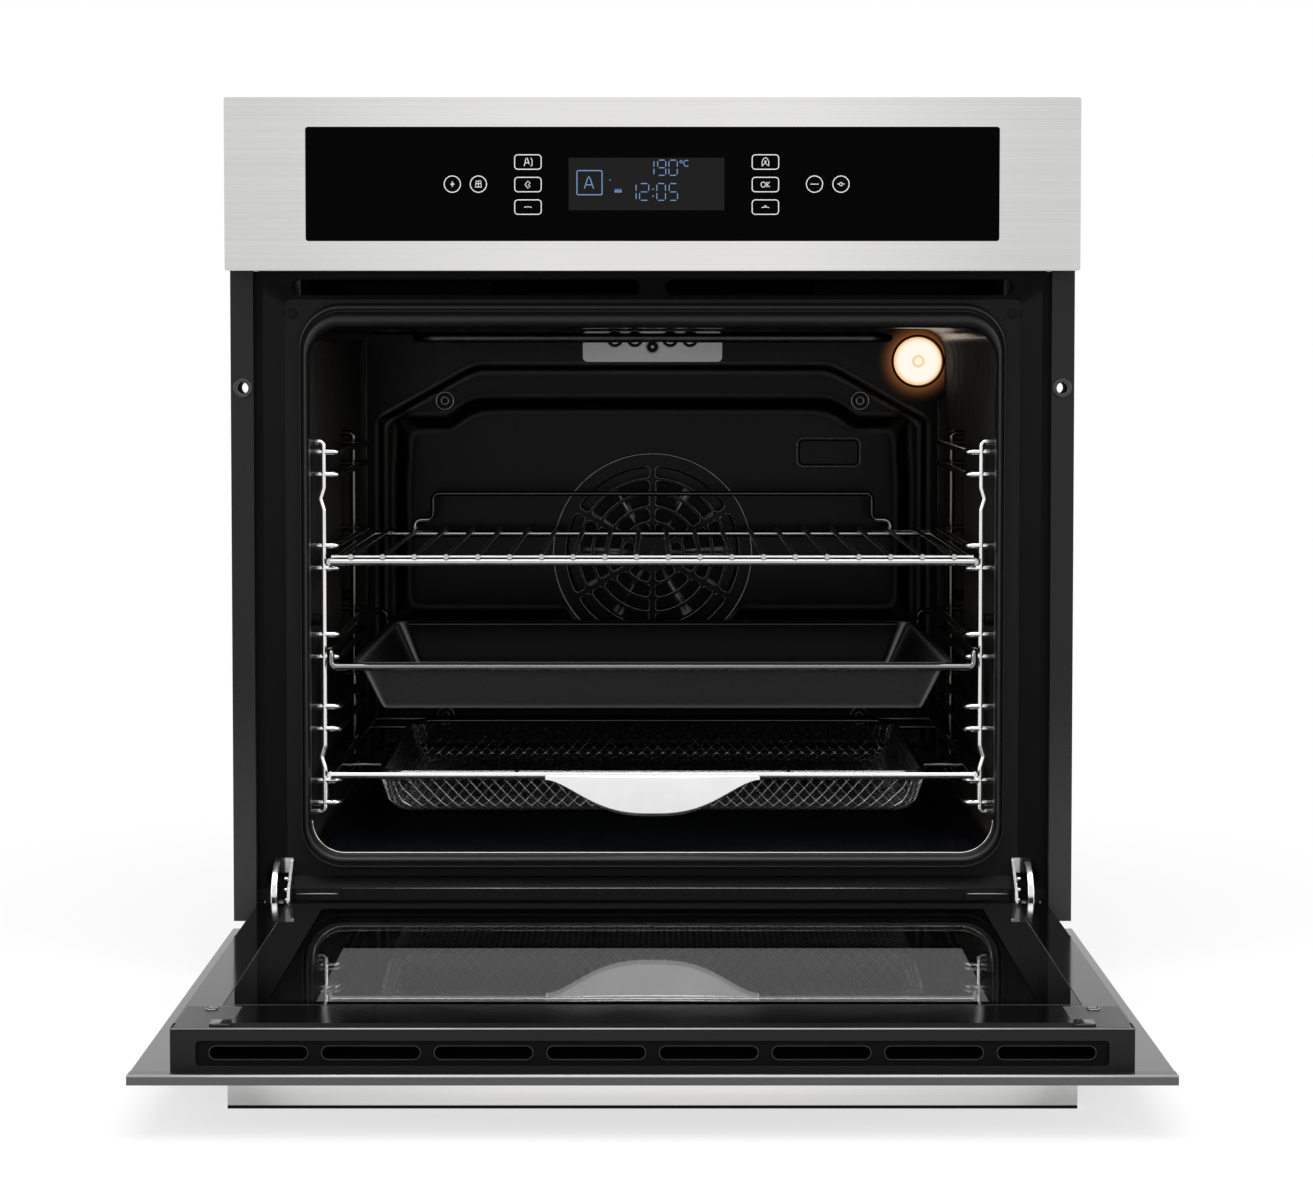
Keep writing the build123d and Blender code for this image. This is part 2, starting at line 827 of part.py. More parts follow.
def lower_heater():
    """Bent heater under the cavity floor."""
    half = cavity_half - lower_heater_side
    front = liner_y + lower_heater_front
    rear = cavity_back - lower_heater_rear
    turn = rear - lower_heater_turn
    points = [(-lower_heater_end, rear), (-lower_heater_end, turn), (-half, turn), (-half, front),
              (half, front), (half, turn), (lower_heater_end, turn), (lower_heater_end, rear)]
    return wire([(x, y, lower_heater_z) for x, y in points], heater_radius, grill_bend)


def lamp_housing():
    """Ceramic lamp holder behind the back wall."""
    end = liner_back + lamp_length
    cup = disc(lamp_x, liner_back, end, lamp_z, lamp_radius)
    return cup - disc(lamp_x, liner_back, end - lamp_floor, lamp_z, lamp_radius - lens_wall)


def lamp_bulb():
    """Small halogen bulb seated on the floor of the lamp holder."""
    seat = liner_back + lamp_length - lamp_floor
    neck = seat - bulb_stem_length
    stem = disc(lamp_x, neck, seat, lamp_z, bulb_stem_radius)
    tip = disc(lamp_x, neck - bulb_length, neck, lamp_z, bulb_radius)
    return stem + fillet(tip.edges().group_by(Axis.Y)[0], bulb_round)


def lamp_lens():
    """Domed glass cover over the lamp, seated on the back wall."""
    front = cavity_back - lens_proud
    cup = disc(lamp_x, front, cavity_back, lamp_z, lamp_radius)
    cup = fillet(cup.edges().group_by(Axis.Y)[0], lens_round)
    return cup - disc(lamp_x, front + lens_wall, cavity_back, lamp_z, lamp_radius - lens_wall)


# Wire racks
def rack_upright(y, kinks):
    """One upright of the right rack, bent to the wall at both ends."""
    points = [(cavity_half, y, rack_low), (rack_rod_x, y, rack_low)]
    for z in kinks:
        points += [(rack_rod_x, y, z - kink_half), (rack_rod_x + kink_depth, y, z),
                   (rack_rod_x, y, z + kink_half)]
    points += [(rack_rod_x, y, rack_high), (cavity_half, y, rack_high)]
    return wire(points, rack_rod_radius, kink_bend)


def rack():
    """Right wire rack: two uprights joined by pairs of rungs that run front to back."""
    frame = rack_upright(rack_front, kink_heights) + rack_upright(rack_rear, [])
    for low in rung_heights:
        for z in (low, low + rung_pair):
            points = [(cavity_half, rack_front, z), (rung_x, rack_front, z), (rung_x, rack_rear, z),
                      (cavity_half, rack_rear, z)]
            frame += wire(points, rung_radius, rung_bend)
    return frame


def rack_studs():
    """Wall studs that the rack uprights hang against."""
    studs = [
        cross_bar(rack_rod_x + rack_rod_radius + stud_gap, cavity_half, y, rack_stud_height, stud_radius)
        for y in (rack_front, rack_rear)
    ]
    return Compound(children=studs + [mirrored(stud) for stud in studs])


def slide_rails(z):
    """Right side rail of a shelf, pan carrier or basket, on the rack's rungs."""
    return wire([(rail_x, tray_front, z), (rail_x, tray_rear, z)], rail_radius, rung_bend)


def wire_shelf():
    """Chromed shelf: two end rails, two side rails, cross wires and a rear guard."""
    cross_z = shelf_z + rail_radius + cross_wire_radius - wire_bite
    rail = slide_rails(shelf_z)
    shelf = rail + mirrored(rail)
    for y in (tray_front, tray_rear):
        shelf += cross_bar(-rail_x, rail_x, y, shelf_z, rail_radius)
    shelf += cross_bar(-rail_x, rail_x, tray_front + stop_wire_back, shelf_z + rail_radius, cross_wire_radius)
    for number in range(cross_wires):
        x = cross_pitch * (number - (cross_wires - 1) / 2)
        shelf += wire([(x, tray_front - rail_radius, cross_z), (x, tray_rear + rail_radius, cross_z)],
                      cross_wire_radius, rung_bend)
    top = shelf_z + guard_height
    foot = guard_half + guard_foot
    guard = [(-foot, tray_rear, shelf_z), (-foot, tray_rear, top - guard_drop),
             (-guard_half, tray_rear, top - guard_drop), (-guard_half, tray_rear, top)]
    guard += [(-x, y, z) for x, y, z in reversed(guard)]
    return shelf + wire(guard, cross_wire_radius, guard_bend)


def pan_carrier():
    """Chromed wire carrier, one bent loop: side rails on the rungs and lower end rods for the pan's rim."""
    right = [(0, tray_front, carrier_low_z), (rail_x, tray_front, carrier_low_z),
             (rail_x, tray_front, carrier_z), (rail_x, tray_rear, carrier_z),
             (carrier_drop_x, tray_rear, carrier_z), (carrier_drop_x, tray_rear, carrier_low_z),
             (0, tray_rear, carrier_low_z)]
    half = wire(right, rail_radius, carrier_bend)
    return half + mirrored(half)


def pan_form(shrink, rim_z, foot_z):
    """The pan's tapered body, drawn in by its wall for its hollow."""
    front = tray_front + pan_rim_width + rail_radius + shrink
    rear = tray_rear - pan_rim_width - rail_radius - shrink
    middle = (front + rear) / 2
    top_half = pan_rim_half - pan_rim_width - shrink
    foot_half = pan_bottom_half - shrink
    foot_length = rear - front - 2 * pan_taper_front
    top = Plane.XY.offset(rim_z) * Pos(0, middle) * RectangleRounded(2 * top_half, rear - front, pan_corner)
    foot = Plane.XY.offset(foot_z) * Pos(0, middle) * RectangleRounded(2 * foot_half, foot_length, pan_corner)
    return loft([foot, top])


def deep_pan():
    """Black enamelled pan whose rim rests on the carrier's end rods."""
    front = tray_front - rail_radius
    rear = tray_rear + rail_radius
    rim_top = pan_rim_z + pan_wall
    foot = rim_top - pan_depth
    rim = floor_plate(Pos(0, (front + rear) / 2) * RectangleRounded(2 * pan_rim_half, rear - front, pan_corner),
                      pan_rim_z, rim_top)
    return rim + pan_form(0, pan_rim_z, foot) - pan_form(pan_wall, rim_top, foot + pan_wall)


def basket_outline(shrink):
    """Plan of the mesh basket, drawn in by one amount."""
    length = basket_rear - basket_front - 2 * shrink
    corner = basket_corner - shrink
    middle = (basket_front + basket_rear) / 2
    return Pos(0, middle) * RectangleRounded(2 * (basket_half - shrink), length, corner)


def diamond(width, height):
    """One gap of the net."""
    return make_face(Polyline((-width / 2, 0), (0, -height / 2), (width / 2, 0), (0, height / 2), close=True))


def basket_net():
    """Net tray of the frying basket, with diamond gaps in its floor and front."""
    foot = basket_z - basket_rim_radius - basket_depth
    top = basket_z - basket_rim_radius
    middle = (basket_front + basket_rear) / 2
    step_x = 2 * (basket_half - net_margin) / net_columns
    step_y = (basket_rear - basket_front - 2 * net_margin) / net_rows
    spots = GridLocations(step_x, step_y, net_columns, net_rows)
    gaps = [Pos(0, middle) * spot * diamond(net_gap, net_gap) for spot in spots]
    tray = floor_plate(basket_outline(0) - gaps, foot, foot + basket_wall)
    tray += floor_plate(basket_outline(0) - basket_outline(basket_wall), foot, top)
    front_step = 2 * (basket_half - net_margin) / front_net_columns
    height = (foot + basket_wall + top) / 2
    front_gaps = [Pos(0, height) * spot * diamond(front_net_gap, front_net_height)
                  for spot in GridLocations(front_step, 1, front_net_columns, 1)]
    return tray - front_plate(Sketch() + front_gaps, basket_front, basket_front + basket_wall)


def basket_frame():
    """Chromed wire frame of the basket: rim, side rails, end rails and short ties."""
    rail = slide_rails(basket_z)
    frame = rail + mirrored(rail)
    for y in (tray_front, tray_rear):
        frame += cross_bar(-rail_x, rail_x, y, basket_z, rail_radius)
    inset = basket_wall / 2
    half = basket_half - inset
    front = basket_front + inset
    rear = basket_rear - inset
    rim = wire([(0, front, basket_z), (half, front, basket_z), (half, rear, basket_z), (0, rear, basket_z)],
               basket_rim_radius, basket_corner - inset)
    frame += rim + mirrored(rim)
    for y in (front + basket_tie_inset, rear - basket_tie_inset):
        tie = wire([(half, y, basket_z), (rail_x, y, basket_z)], basket_tie_radius, rung_bend)
        frame += tie + mirrored(tie)
    for start, end in ((tray_front, front), (rear, tray_rear)):
        tie = wire([(basket_tie_x, start, basket_z), (basket_tie_x, end, basket_z)],
                   basket_tie_radius, rung_bend)
        frame += tie + mirrored(tie)
    return frame


def basket_handle():
    """Bright plate hung on the basket's front rail, with an ogee lower edge."""
    top = basket_z
    foot = top - handle_plate_height
    flat = handle_plate_half - handle_plate_shoulder
    pull = handle_plate_pull
    edge = top - handle_plate_edge
    right = Bezier((handle_plate_half, edge), (handle_plate_half - pull, edge),
                   (flat + pull, foot), (flat, foot))
    left = Bezier((-flat, foot), (-flat - pull, foot),
                  (pull - handle_plate_half, edge), (-handle_plate_half, edge))
    outline = Polyline((-handle_plate_half, edge), (-handle_plate_half, top), (handle_plate_half, top),
                       (handle_plate_half, edge))
    plate = make_face([outline, right, Line((flat, foot), (-flat, foot)), left])
    back = tray_front - rail_radius
    return front_plate(plate, back - handle_plate_sheet, back)


# Door, drawn open
def door_outer_glass():
    """Outer pane of the door, with holes for the handle's screws."""
    half = oven_width / 2
    pane = door_block(-half, half, 0, door_length - edge_trim_sheet, edge_trim_sheet, glass_top)
    for x in (-post_half_spacing, post_half_spacing):
        pane -= door_bore(x, edge_trim_sheet, glass_top, screw_radius + glass_hole_gap)
    return pane


def door_bore(x, depth0, depth1, radius):
    """A round bar through the door at the handle's height."""
    place = Pos(x, door_y(handle_place))
    return floor_plate(place * Circle(radius), door_z(depth0), door_z(depth1))


def door_edge_trim():
    """Brushed steel channel that wraps the upper edge of the outer pane."""
    low = door_length - edge_trim_depth
    channel = door_block(-oven_width / 2, oven_width / 2, low, door_length, 0, glass_top + edge_trim_sheet)
    return channel - door_block(-oven_width / 2, oven_width / 2, low, door_length - edge_trim_sheet,
                                edge_trim_sheet, glass_top)


def clip_block(grow):
    """Right corner clip's space in the door, grown by one amount."""
    return door_block(clip_inner - grow, frame_half - clip_margin + grow, clip_start - grow,
                      frame_end - clip_margin + grow, door_thickness - clip_thickness, door_thickness)


def hinge_notch():
    """Right corner cut-out that clears the hinge."""
    return door_block(hinge_inner - notch_gap, hinge_outer + notch_gap, door_frame_start,
                      door_frame_start + notch_length, glass_top, door_thickness)


def door_frame():
    """Black inner frame of the door: hollow sides and a ledge for the inner pane."""
    end = frame_end - vent_trim_depth
    shell = door_block(-frame_half, frame_half, door_frame_start, end, glass_top, door_thickness)
    shell -= door_block(door_frame_wall - frame_half, frame_half - door_frame_wall,
                        door_frame_start + door_frame_wall, end, glass_top, ledge_floor)
    shell -= door_block(-inner_glass_half - fit_gap, inner_glass_half + fit_gap, inner_glass_start - fit_gap,
                        inner_glass_end + fit_gap, pocket_floor, door_thickness)
    shell -= door_block(-inner_window_half, inner_window_half, inner_window_start, inner_window_end,
                        ledge_floor, pocket_floor)
    for cut in (clip_block(fit_gap), hinge_notch()):
        shell -= cut
        shell -= mirrored(cut)
    return shell


def door_vent_trim():
    """Black trim along the door's upper edge, with a sunk band of air slots."""
    start = frame_end - vent_trim_depth
    trim = door_block(-frame_half, frame_half, start, frame_end, glass_top, door_thickness)
    middle = door_z(vent_offset)
    band = Pos(0, middle) * RectangleRounded(2 * vent_band_half, vent_band_height, vent_band_corner)
    trim -= front_plate(band, door_y(frame_end), door_y(frame_end) + vent_band_depth)
    slots = [Pos(vent_pitch * (number - (vent_slots - 1) / 2), middle) * SlotOverall(vent_length, vent_height)
             for number in range(vent_slots)]
    trim -= front_plate(Sketch() + slots, door_y(frame_end), door_y(start))
    room = clip_block(fit_gap)
    return trim - room - mirrored(room)


def door_clip():
    """Right corner clip that locks the inner pane, with a release hole."""
    hole = Pos((clip_inner + frame_half) / 2, door_y(clip_start + clip_hole_inset)) * Circle(clip_hole_radius)
    return clip_block(0) - floor_plate(hole, door_z(door_thickness - clip_thickness), door_z(door_thickness))


def door_inner_pane():
    """Inner glass pane, flush with the door frame."""
    return door_block(-inner_glass_half, inner_glass_half, inner_glass_start, inner_glass_end,
                      pocket_floor, door_thickness)


def door_middle_pane():
    """Middle glass pane, held under the frame's ledge."""
    half = inner_window_half + middle_glass_margin
    return door_block(-half, half, inner_window_start - middle_glass_margin, inner_window_end + middle_glass_margin,
                      ledge_floor - middle_glass, ledge_floor)


def hinge_bracket():
    """Right hinge bracket: two cheeks on a web, with the pivot pin across them."""
    pivot = Pos(-hinge_forward, hinge_height)
    claw = make_face(Polyline(
        (plate_y, bracket_top), (plate_y, bracket_seat), (door_inner_y, claw_throat_z),
        (eye_radius - hinge_forward, hinge_height), (-eye_radius - hinge_forward, hinge_height),
        (-claw_front, claw_top), close=True))
    side = claw + pivot * Circle(eye_radius)
    bracket = side_plate(side, hinge_inner, hinge_inner + cheek_sheet)
    bracket += side_plate(side, hinge_outer - cheek_sheet, hinge_outer)
    bracket += block(hinge_inner, hinge_outer, plate_y - web_sheet, plate_y, bracket_seat, bracket_top)
    return bracket + cross_bar(hinge_inner, hinge_outer, -hinge_forward, hinge_height, pin_radius)


def hinge_arm():
    """Right hinge arm: an eye on the pivot pin and a leg that lies in the door's side."""
    middle = (hinge_inner + hinge_outer) / 2
    left = middle - arm_sheet / 2
    right = middle + arm_sheet / 2
    leg = door_block(left, right, hinge_to_edge, arm_length, hinge_to_face - arm_height / 2,
                     hinge_to_face + arm_height / 2)
    eye = cross_bar(left, right, -hinge_forward, hinge_height, eye_radius)
    foot_start = door_frame_start + notch_length + notch_gap
    foot = door_block(left, frame_half - door_frame_wall - fit_gap, foot_start, arm_length,
                      glass_top, glass_top + arm_foot_sheet)
    heel = door_block(left, right, foot_start, arm_length, glass_top, hinge_to_face)
    hole = cross_bar(left, right, -hinge_forward, hinge_height, pin_radius + running_gap)
    return leg + eye + foot + heel - hole


def hinge_strips():
    """Flat strips on the lower step of the front frame, beside the hinges."""
    top = slope_low - recess_gap
    strip = block(strip_inner, hinge_inner - notch_gap, step_y - strip_sheet, step_y, top - strip_height, top)
    return both_sides(strip)


def handle_bar():
    """Brushed steel bar of the door handle."""
    half = handle_length / 2
    bar = door_block(-half, half, handle_place - handle_bar_width / 2, handle_place + handle_bar_width / 2,
                     -handle_reach + edge_trim_sheet - handle_bar_height, -handle_reach + edge_trim_sheet)
    return fillet(bar.edges(), handle_round)


def handle_posts():
    """The two posts between the handle's bar and the outer pane."""
    def post(x):
        stub = door_block(x - post_width / 2, x + post_width / 2, handle_place - post_depth / 2,
                          handle_place + post_depth / 2, -handle_reach + edge_trim_sheet, edge_trim_sheet)
        return stub - door_bore(x, edge_trim_sheet - screw_bite, edge_trim_sheet,
                                screw_radius + screw_clearance)
    return Compound(children=[post(-post_half_spacing), post(post_half_spacing)])


def handle_screws():
    """Screws that pass through the outer pane into the handle's posts."""
    def screw(x):
        head = door_bore(x, glass_top, glass_top + screw_head_height, screw_head_radius)
        return head + door_bore(x, edge_trim_sheet - screw_bite + screw_tip_gap, glass_top, screw_radius)
    return Compound(children=[screw(-post_half_spacing), screw(post_half_spacing)])


# Control panel
def control_fascia():
    """Brushed steel control panel, folded back on all four sides, with a cut-out for its glass."""
    outline = Pos(0, panel_middle) * RectangleRounded(oven_width, fascia_height, fascia_corner)
    hollow = Pos(0, panel_middle) * Rectangle(oven_width - 2 * fascia_sheet, fascia_height - 2 * fascia_sheet)
    shell = front_plate(outline, fascia_front, 0) - front_plate(hollow, fascia_front + fascia_sheet, 0)
    opening = rounded(glass_half + fit_gap, fascia_bottom + glass_margin - fit_gap,
                      oven_height - glass_margin + fit_gap, glass_corner)
    return shell - front_plate(opening, fascia_front, fascia_front + fascia_sheet)


def control_pane():
    """Black glass of the control panel, with a wider back that seats on the steel."""
    low = fascia_bottom + glass_margin
    high = oven_height - glass_margin
    face = front_plate(rounded(glass_half, low, high, glass_corner), fascia_front, fascia_front + fascia_sheet)
    back = rounded(glass_half + glass_seat, low - glass_seat, high + glass_seat, glass_corner)
    return face + front_plate(back, fascia_front + fascia_sheet, fascia_front + control_glass)


def display_module():
    """Display behind the control glass."""
    start = fascia_front + control_glass
    return block(-display_half - display_centre, display_half - display_centre, start, start + display_depth,
                 panel_middle - display_height / 2, panel_middle + display_height / 2)


def control_board():
    """Circuit board of the touch keys and the display."""
    start = fascia_front + control_glass + display_depth
    return block(-board_half, board_half, start, start + board_sheet,
                 panel_middle - board_height / 2, panel_middle + board_height / 2)


# Cooling air
def air_duct():
    """Flat duct for the cooling air to the outlets above the door, open behind only to the blower."""
    floor = duct_floor + duct_sheet
    ceiling = duct_floor + duct_height - duct_sheet
    back = blower_front - duct_sheet
    outer = block(-duct_half, duct_half, liner_y, blower_front, duct_floor, duct_floor + duct_height)
    room = block(-duct_half + duct_sheet, duct_half - duct_sheet, liner_y, back, floor, ceiling)
    mouth = block(-blower_half + duct_sheet, blower_half - duct_sheet, back, blower_front, floor, ceiling)
    return outer - room - mouth


def blower_housing():
    """Sheet housing of the cooling blower, open to the duct in front."""
    end = blower_front + blower_size
    top = duct_floor + blower_size
    outer = block(-blower_half, blower_half, blower_front, end, duct_floor, top)
    room = block(-blower_half + duct_sheet, blower_half - duct_sheet, blower_front + duct_sheet,
                 end - duct_sheet, duct_floor + duct_sheet, top - duct_sheet)
    mouth = block(-blower_half + duct_sheet, blower_half - duct_sheet, blower_front, blower_front + duct_sheet,
                  duct_floor + duct_sheet, duct_floor + duct_height - duct_sheet)
    hole = cross_bar(-blower_half, blower_half, blower_axis_y, blower_axis_z, rotor_shaft_radius + running_gap)
    return outer - room - mouth - hole


def cooling_rotor():
    """Drum rotor of the cooling blower on its shaft."""
    y = blower_axis_y
    z = blower_axis_z
    end = blower_half + blower_motor_length - bore_floor - shaft_end_gap
    rotor = cross_bar(-blower_half, end, y, z, rotor_shaft_radius)
    for x in (-rotor_half, rotor_half - rotor_disc):
        rotor += cross_bar(x, x + rotor_disc, y, z, rotor_radius)
    tip = rotor_radius - rotor_rim
    blade = block(-rotor_half, rotor_half, -blade_sheet / 2, blade_sheet / 2, tip - rotor_blade_width, tip)
    for number in range(rotor_blades):
        rotor += Pos(0, y, z) * Rot(360 / rotor_blades * number, 0, 0) * blade
    return rotor


def blower_motor():
    """Motor on the blower's right side."""
    end = blower_half + blower_motor_length
    can = cross_bar(blower_half, end, blower_axis_y, blower_axis_z, blower_motor_radius)
    bore = cross_bar(blower_half, end - bore_floor, blower_axis_y, blower_axis_z,
                     rotor_shaft_radius + running_gap)
    return can - bore


def terminal_box():
    """Plastic mains terminal box on the rear sheet, with its cable entry."""
    x0 = terminal_box_x - terminal_box_width / 2
    z0 = terminal_box_z - terminal_box_height / 2
    end = body_depth + terminal_box_depth
    shell = block(x0, x0 + terminal_box_width, body_depth, end, z0, z0 + terminal_box_height)
    shell -= block(x0 + terminal_box_wall, x0 + terminal_box_width - terminal_box_wall, body_depth,
                   end - terminal_box_wall, z0 + terminal_box_wall, z0 + terminal_box_height - terminal_box_wall)
    entry = Pos(terminal_box_x, (body_depth + end) / 2) * Circle(gland_radius)
    return shell - floor_plate(entry, z0, z0 + terminal_box_wall)


nodes = {
    "base_tray": base_tray(),
    "side_panel_right": side_panel(),
    "side_panel_left": mirrored(side_panel()),
    "rear_panel": rear_panel(),
    "top_cover": top_cover(),
    "insulation": insulation(),
    "round_head_screws": round_head_screws(),
    "flange_right": flange(),
    "flange_left": mirrored(flange()),
    "screw_bushes": both_sides(bush()),
    "front_frame": front_frame(),
    "crossbar": crossbar(),
    "cavity_front_plate": cavity_front_plate(),
    "door_gasket": door_gasket(),
    "cavity_liner": cavity_liner(),
    "fan_cover": fan_cover(),
    "cover_screws": cover_screws(),
    "fan_impeller": fan_impeller(),
    "fan_shaft": fan_shaft(),
    "fan_motor": fan_motor(),
    "ring_heater": ring_heater(),
    "grill_heater": grill_heater(),
    "terminal_plate": terminal_plate(),
    "lower_heater": lower_heater(),
    "lamp_housing": lamp_housing(),
    "lamp_bulb": lamp_bulb(),
    "lamp_lens": lamp_lens(),
    "rack_right": rack(),
    "rack_left": mirrored(rack()),
    "rack_studs": rack_studs(),
    "wire_shelf": wire_shelf(),
    "pan_carrier": pan_carrier(),
    "deep_pan": deep_pan(),
    "basket_net": basket_net(),
    "basket_frame": basket_frame(),
    "basket_handle": basket_handle(),
    "door_outer_glass": door_outer_glass(),
    "door_edge_trim": door_edge_trim(),
    "door_frame": door_frame(),
    "door_vent_trim": door_vent_trim(),
    "door_clips": both_sides(door_clip()),
    "door_inner_pane": door_inner_pane(),
    "door_middle_pane": door_middle_pane(),
    "hinge_bracket_right": hinge_bracket(),
    "hinge_bracket_left": mirrored(hinge_bracket()),
    "hinge_arm_right": hinge_arm(),
    "hinge_arm_left": mirrored(hinge_arm()),
    "hinge_strips": hinge_strips(),
    "handle_bar": handle_bar(),
    "handle_posts": handle_posts(),
    "handle_screws": handle_screws(),
    "control_fascia": control_fascia(),
    "control_pane": control_pane(),
    "display_module": display_module(),
    "control_board": control_board(),
    "air_duct": air_duct(),
    "blower_housing": blower_housing(),
    "cooling_rotor": cooling_rotor(),
    "blower_motor": blower_motor(),
    "terminal_box": terminal_box(),
}

os.makedirs("parts", exist_ok=True)
for name, solid in nodes.items():
    export_step(solid, f"parts/{name}.step")
print(len(nodes), "nodes written")
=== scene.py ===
# %% [markdown]
# # A wall oven with its door let down
# The oven is built into a kitchen cabinet: a steel control panel on top, a black cavity with racks, a shelf,
# a pan and a net basket, and a glass door that hangs open on two hinges. The solids come from the frame.
# This script gives every solid its finish and adds thin pieces on top: pressings, prints, the basket's net
# and small rings.

# %% Load the frame
import json
import math
import bmesh
import bpy
import numpy as np
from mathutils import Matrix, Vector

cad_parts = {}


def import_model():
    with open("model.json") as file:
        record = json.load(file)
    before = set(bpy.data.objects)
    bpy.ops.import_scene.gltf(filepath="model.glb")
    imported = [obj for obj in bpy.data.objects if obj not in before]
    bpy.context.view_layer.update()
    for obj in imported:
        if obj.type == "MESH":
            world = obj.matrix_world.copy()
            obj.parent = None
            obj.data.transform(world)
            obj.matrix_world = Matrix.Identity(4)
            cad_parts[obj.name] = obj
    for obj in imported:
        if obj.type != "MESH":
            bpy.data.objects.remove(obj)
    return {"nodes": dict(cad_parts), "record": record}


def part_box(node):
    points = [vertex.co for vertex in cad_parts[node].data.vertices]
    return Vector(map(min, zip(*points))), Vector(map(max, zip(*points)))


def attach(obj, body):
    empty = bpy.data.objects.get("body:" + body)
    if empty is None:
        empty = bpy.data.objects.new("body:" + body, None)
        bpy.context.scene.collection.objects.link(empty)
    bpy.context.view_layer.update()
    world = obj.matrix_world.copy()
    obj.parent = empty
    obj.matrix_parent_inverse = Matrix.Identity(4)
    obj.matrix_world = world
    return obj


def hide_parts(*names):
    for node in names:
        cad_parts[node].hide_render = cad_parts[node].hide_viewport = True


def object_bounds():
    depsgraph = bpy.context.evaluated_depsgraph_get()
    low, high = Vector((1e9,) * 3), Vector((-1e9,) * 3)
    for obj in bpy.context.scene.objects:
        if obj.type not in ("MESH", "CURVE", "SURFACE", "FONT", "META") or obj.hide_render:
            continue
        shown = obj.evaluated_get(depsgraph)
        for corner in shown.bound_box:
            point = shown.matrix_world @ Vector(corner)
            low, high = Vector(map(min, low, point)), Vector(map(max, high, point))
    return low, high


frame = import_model()
cad_low, cad_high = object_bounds()
MM = 0.001
print("nodes in the frame:", len(frame["nodes"]))

# %% [markdown]
# ## Camera
# A catalogue picture of a built-in oven is taken from straight in front, a little above the middle, with a
# long lens, so that upright edges stay upright. The lens, the height and the small tilt were worked out from
# the edges of the steel panel, the flanges and the open door, with the panel taken as 595 mm wide.

# %% Camera
IMAGE_WIDTH = 1313
FOCAL_PIXELS = 3145.6
CENTRE_RIGHT_PIXELS = 4.0
CENTRE_DOWN_PIXELS = 107.9
SENSOR = 36.0
CAMERA_PLACE = (0.0, -2.2158, 0.4219)
CAMERA_TILT = math.radians(87.3775)

camera_data = bpy.data.cameras.new("camera")
camera_data.sensor_fit = "HORIZONTAL"
camera_data.sensor_width = SENSOR
camera_data.lens = FOCAL_PIXELS / IMAGE_WIDTH * SENSOR
camera_data.shift_x = CENTRE_RIGHT_PIXELS / IMAGE_WIDTH
camera_data.shift_y = -CENTRE_DOWN_PIXELS / IMAGE_WIDTH
camera = bpy.data.objects.new("camera", camera_data)
camera.location = CAMERA_PLACE
camera.rotation_euler = (CAMERA_TILT, 0.0, 0.0)
bpy.context.scene.collection.objects.link(camera)
bpy.context.scene.camera = camera
bpy.context.scene.view_settings.view_transform = "Standard"
print("lens of the camera in millimetres:", round(camera_data.lens, 2))

# %% [markdown]
# ## Writing shaders as sums
# A finish is a small network of nodes. Wiring each Math node by hand hides what is being worked out, so a
# class wraps a node's output and turns ordinary arithmetic on it into Math nodes. Every other node goes
# through one method, which takes the node's type, its settings and what goes into its sockets.

# %% Shader values
class Value:
    """An output socket. Arithmetic and comparisons on it add the Math nodes that work them out."""

    def __init__(self, tree, socket):
        """Keeps the socket and the node tree that it belongs to."""
        self.tree = tree
        self.socket = socket

    def math(self, operation, left, right=0.0):
        """A Math node that does one operation with two values or numbers."""
        return self.tree.node("ShaderNodeMath", {"operation": operation}, {0: left, 1: right})

    def __abs__(self):
        """The value without its sign."""
        return self.math("ABSOLUTE", self)

    def sine(self):
        """The sine of an angle in radians."""
        return self.math("SINE", self)

    def larger(self, other):
        """The larger of two values."""
        return self.math("MAXIMUM", self, other)

    def ramp(self, low, high):
        """0 up to low, 1 from high on, and a smooth rise between them."""
        return self.tree.node("ShaderNodeMapRange", {"interpolation_type": "SMOOTHSTEP"},
                              {"Value": self, "From Min": low, "From Max": high})


SIGNS = {"add": "ADD", "sub": "SUBTRACT", "mul": "MULTIPLY", "truediv": "DIVIDE", "pow": "POWER",
         "gt": "GREATER_THAN", "lt": "LESS_THAN"}
for sign, operation in SIGNS.items():
    setattr(Value, f"__{sign}__", lambda left, right, name=operation: left.math(name, left, right))
for sign in ("add", "sub", "mul"):
    setattr(Value, f"__r{sign}__", lambda right, left, name=SIGNS[sign]: right.math(name, left, right))
print("signs that make Math nodes:", len(SIGNS))

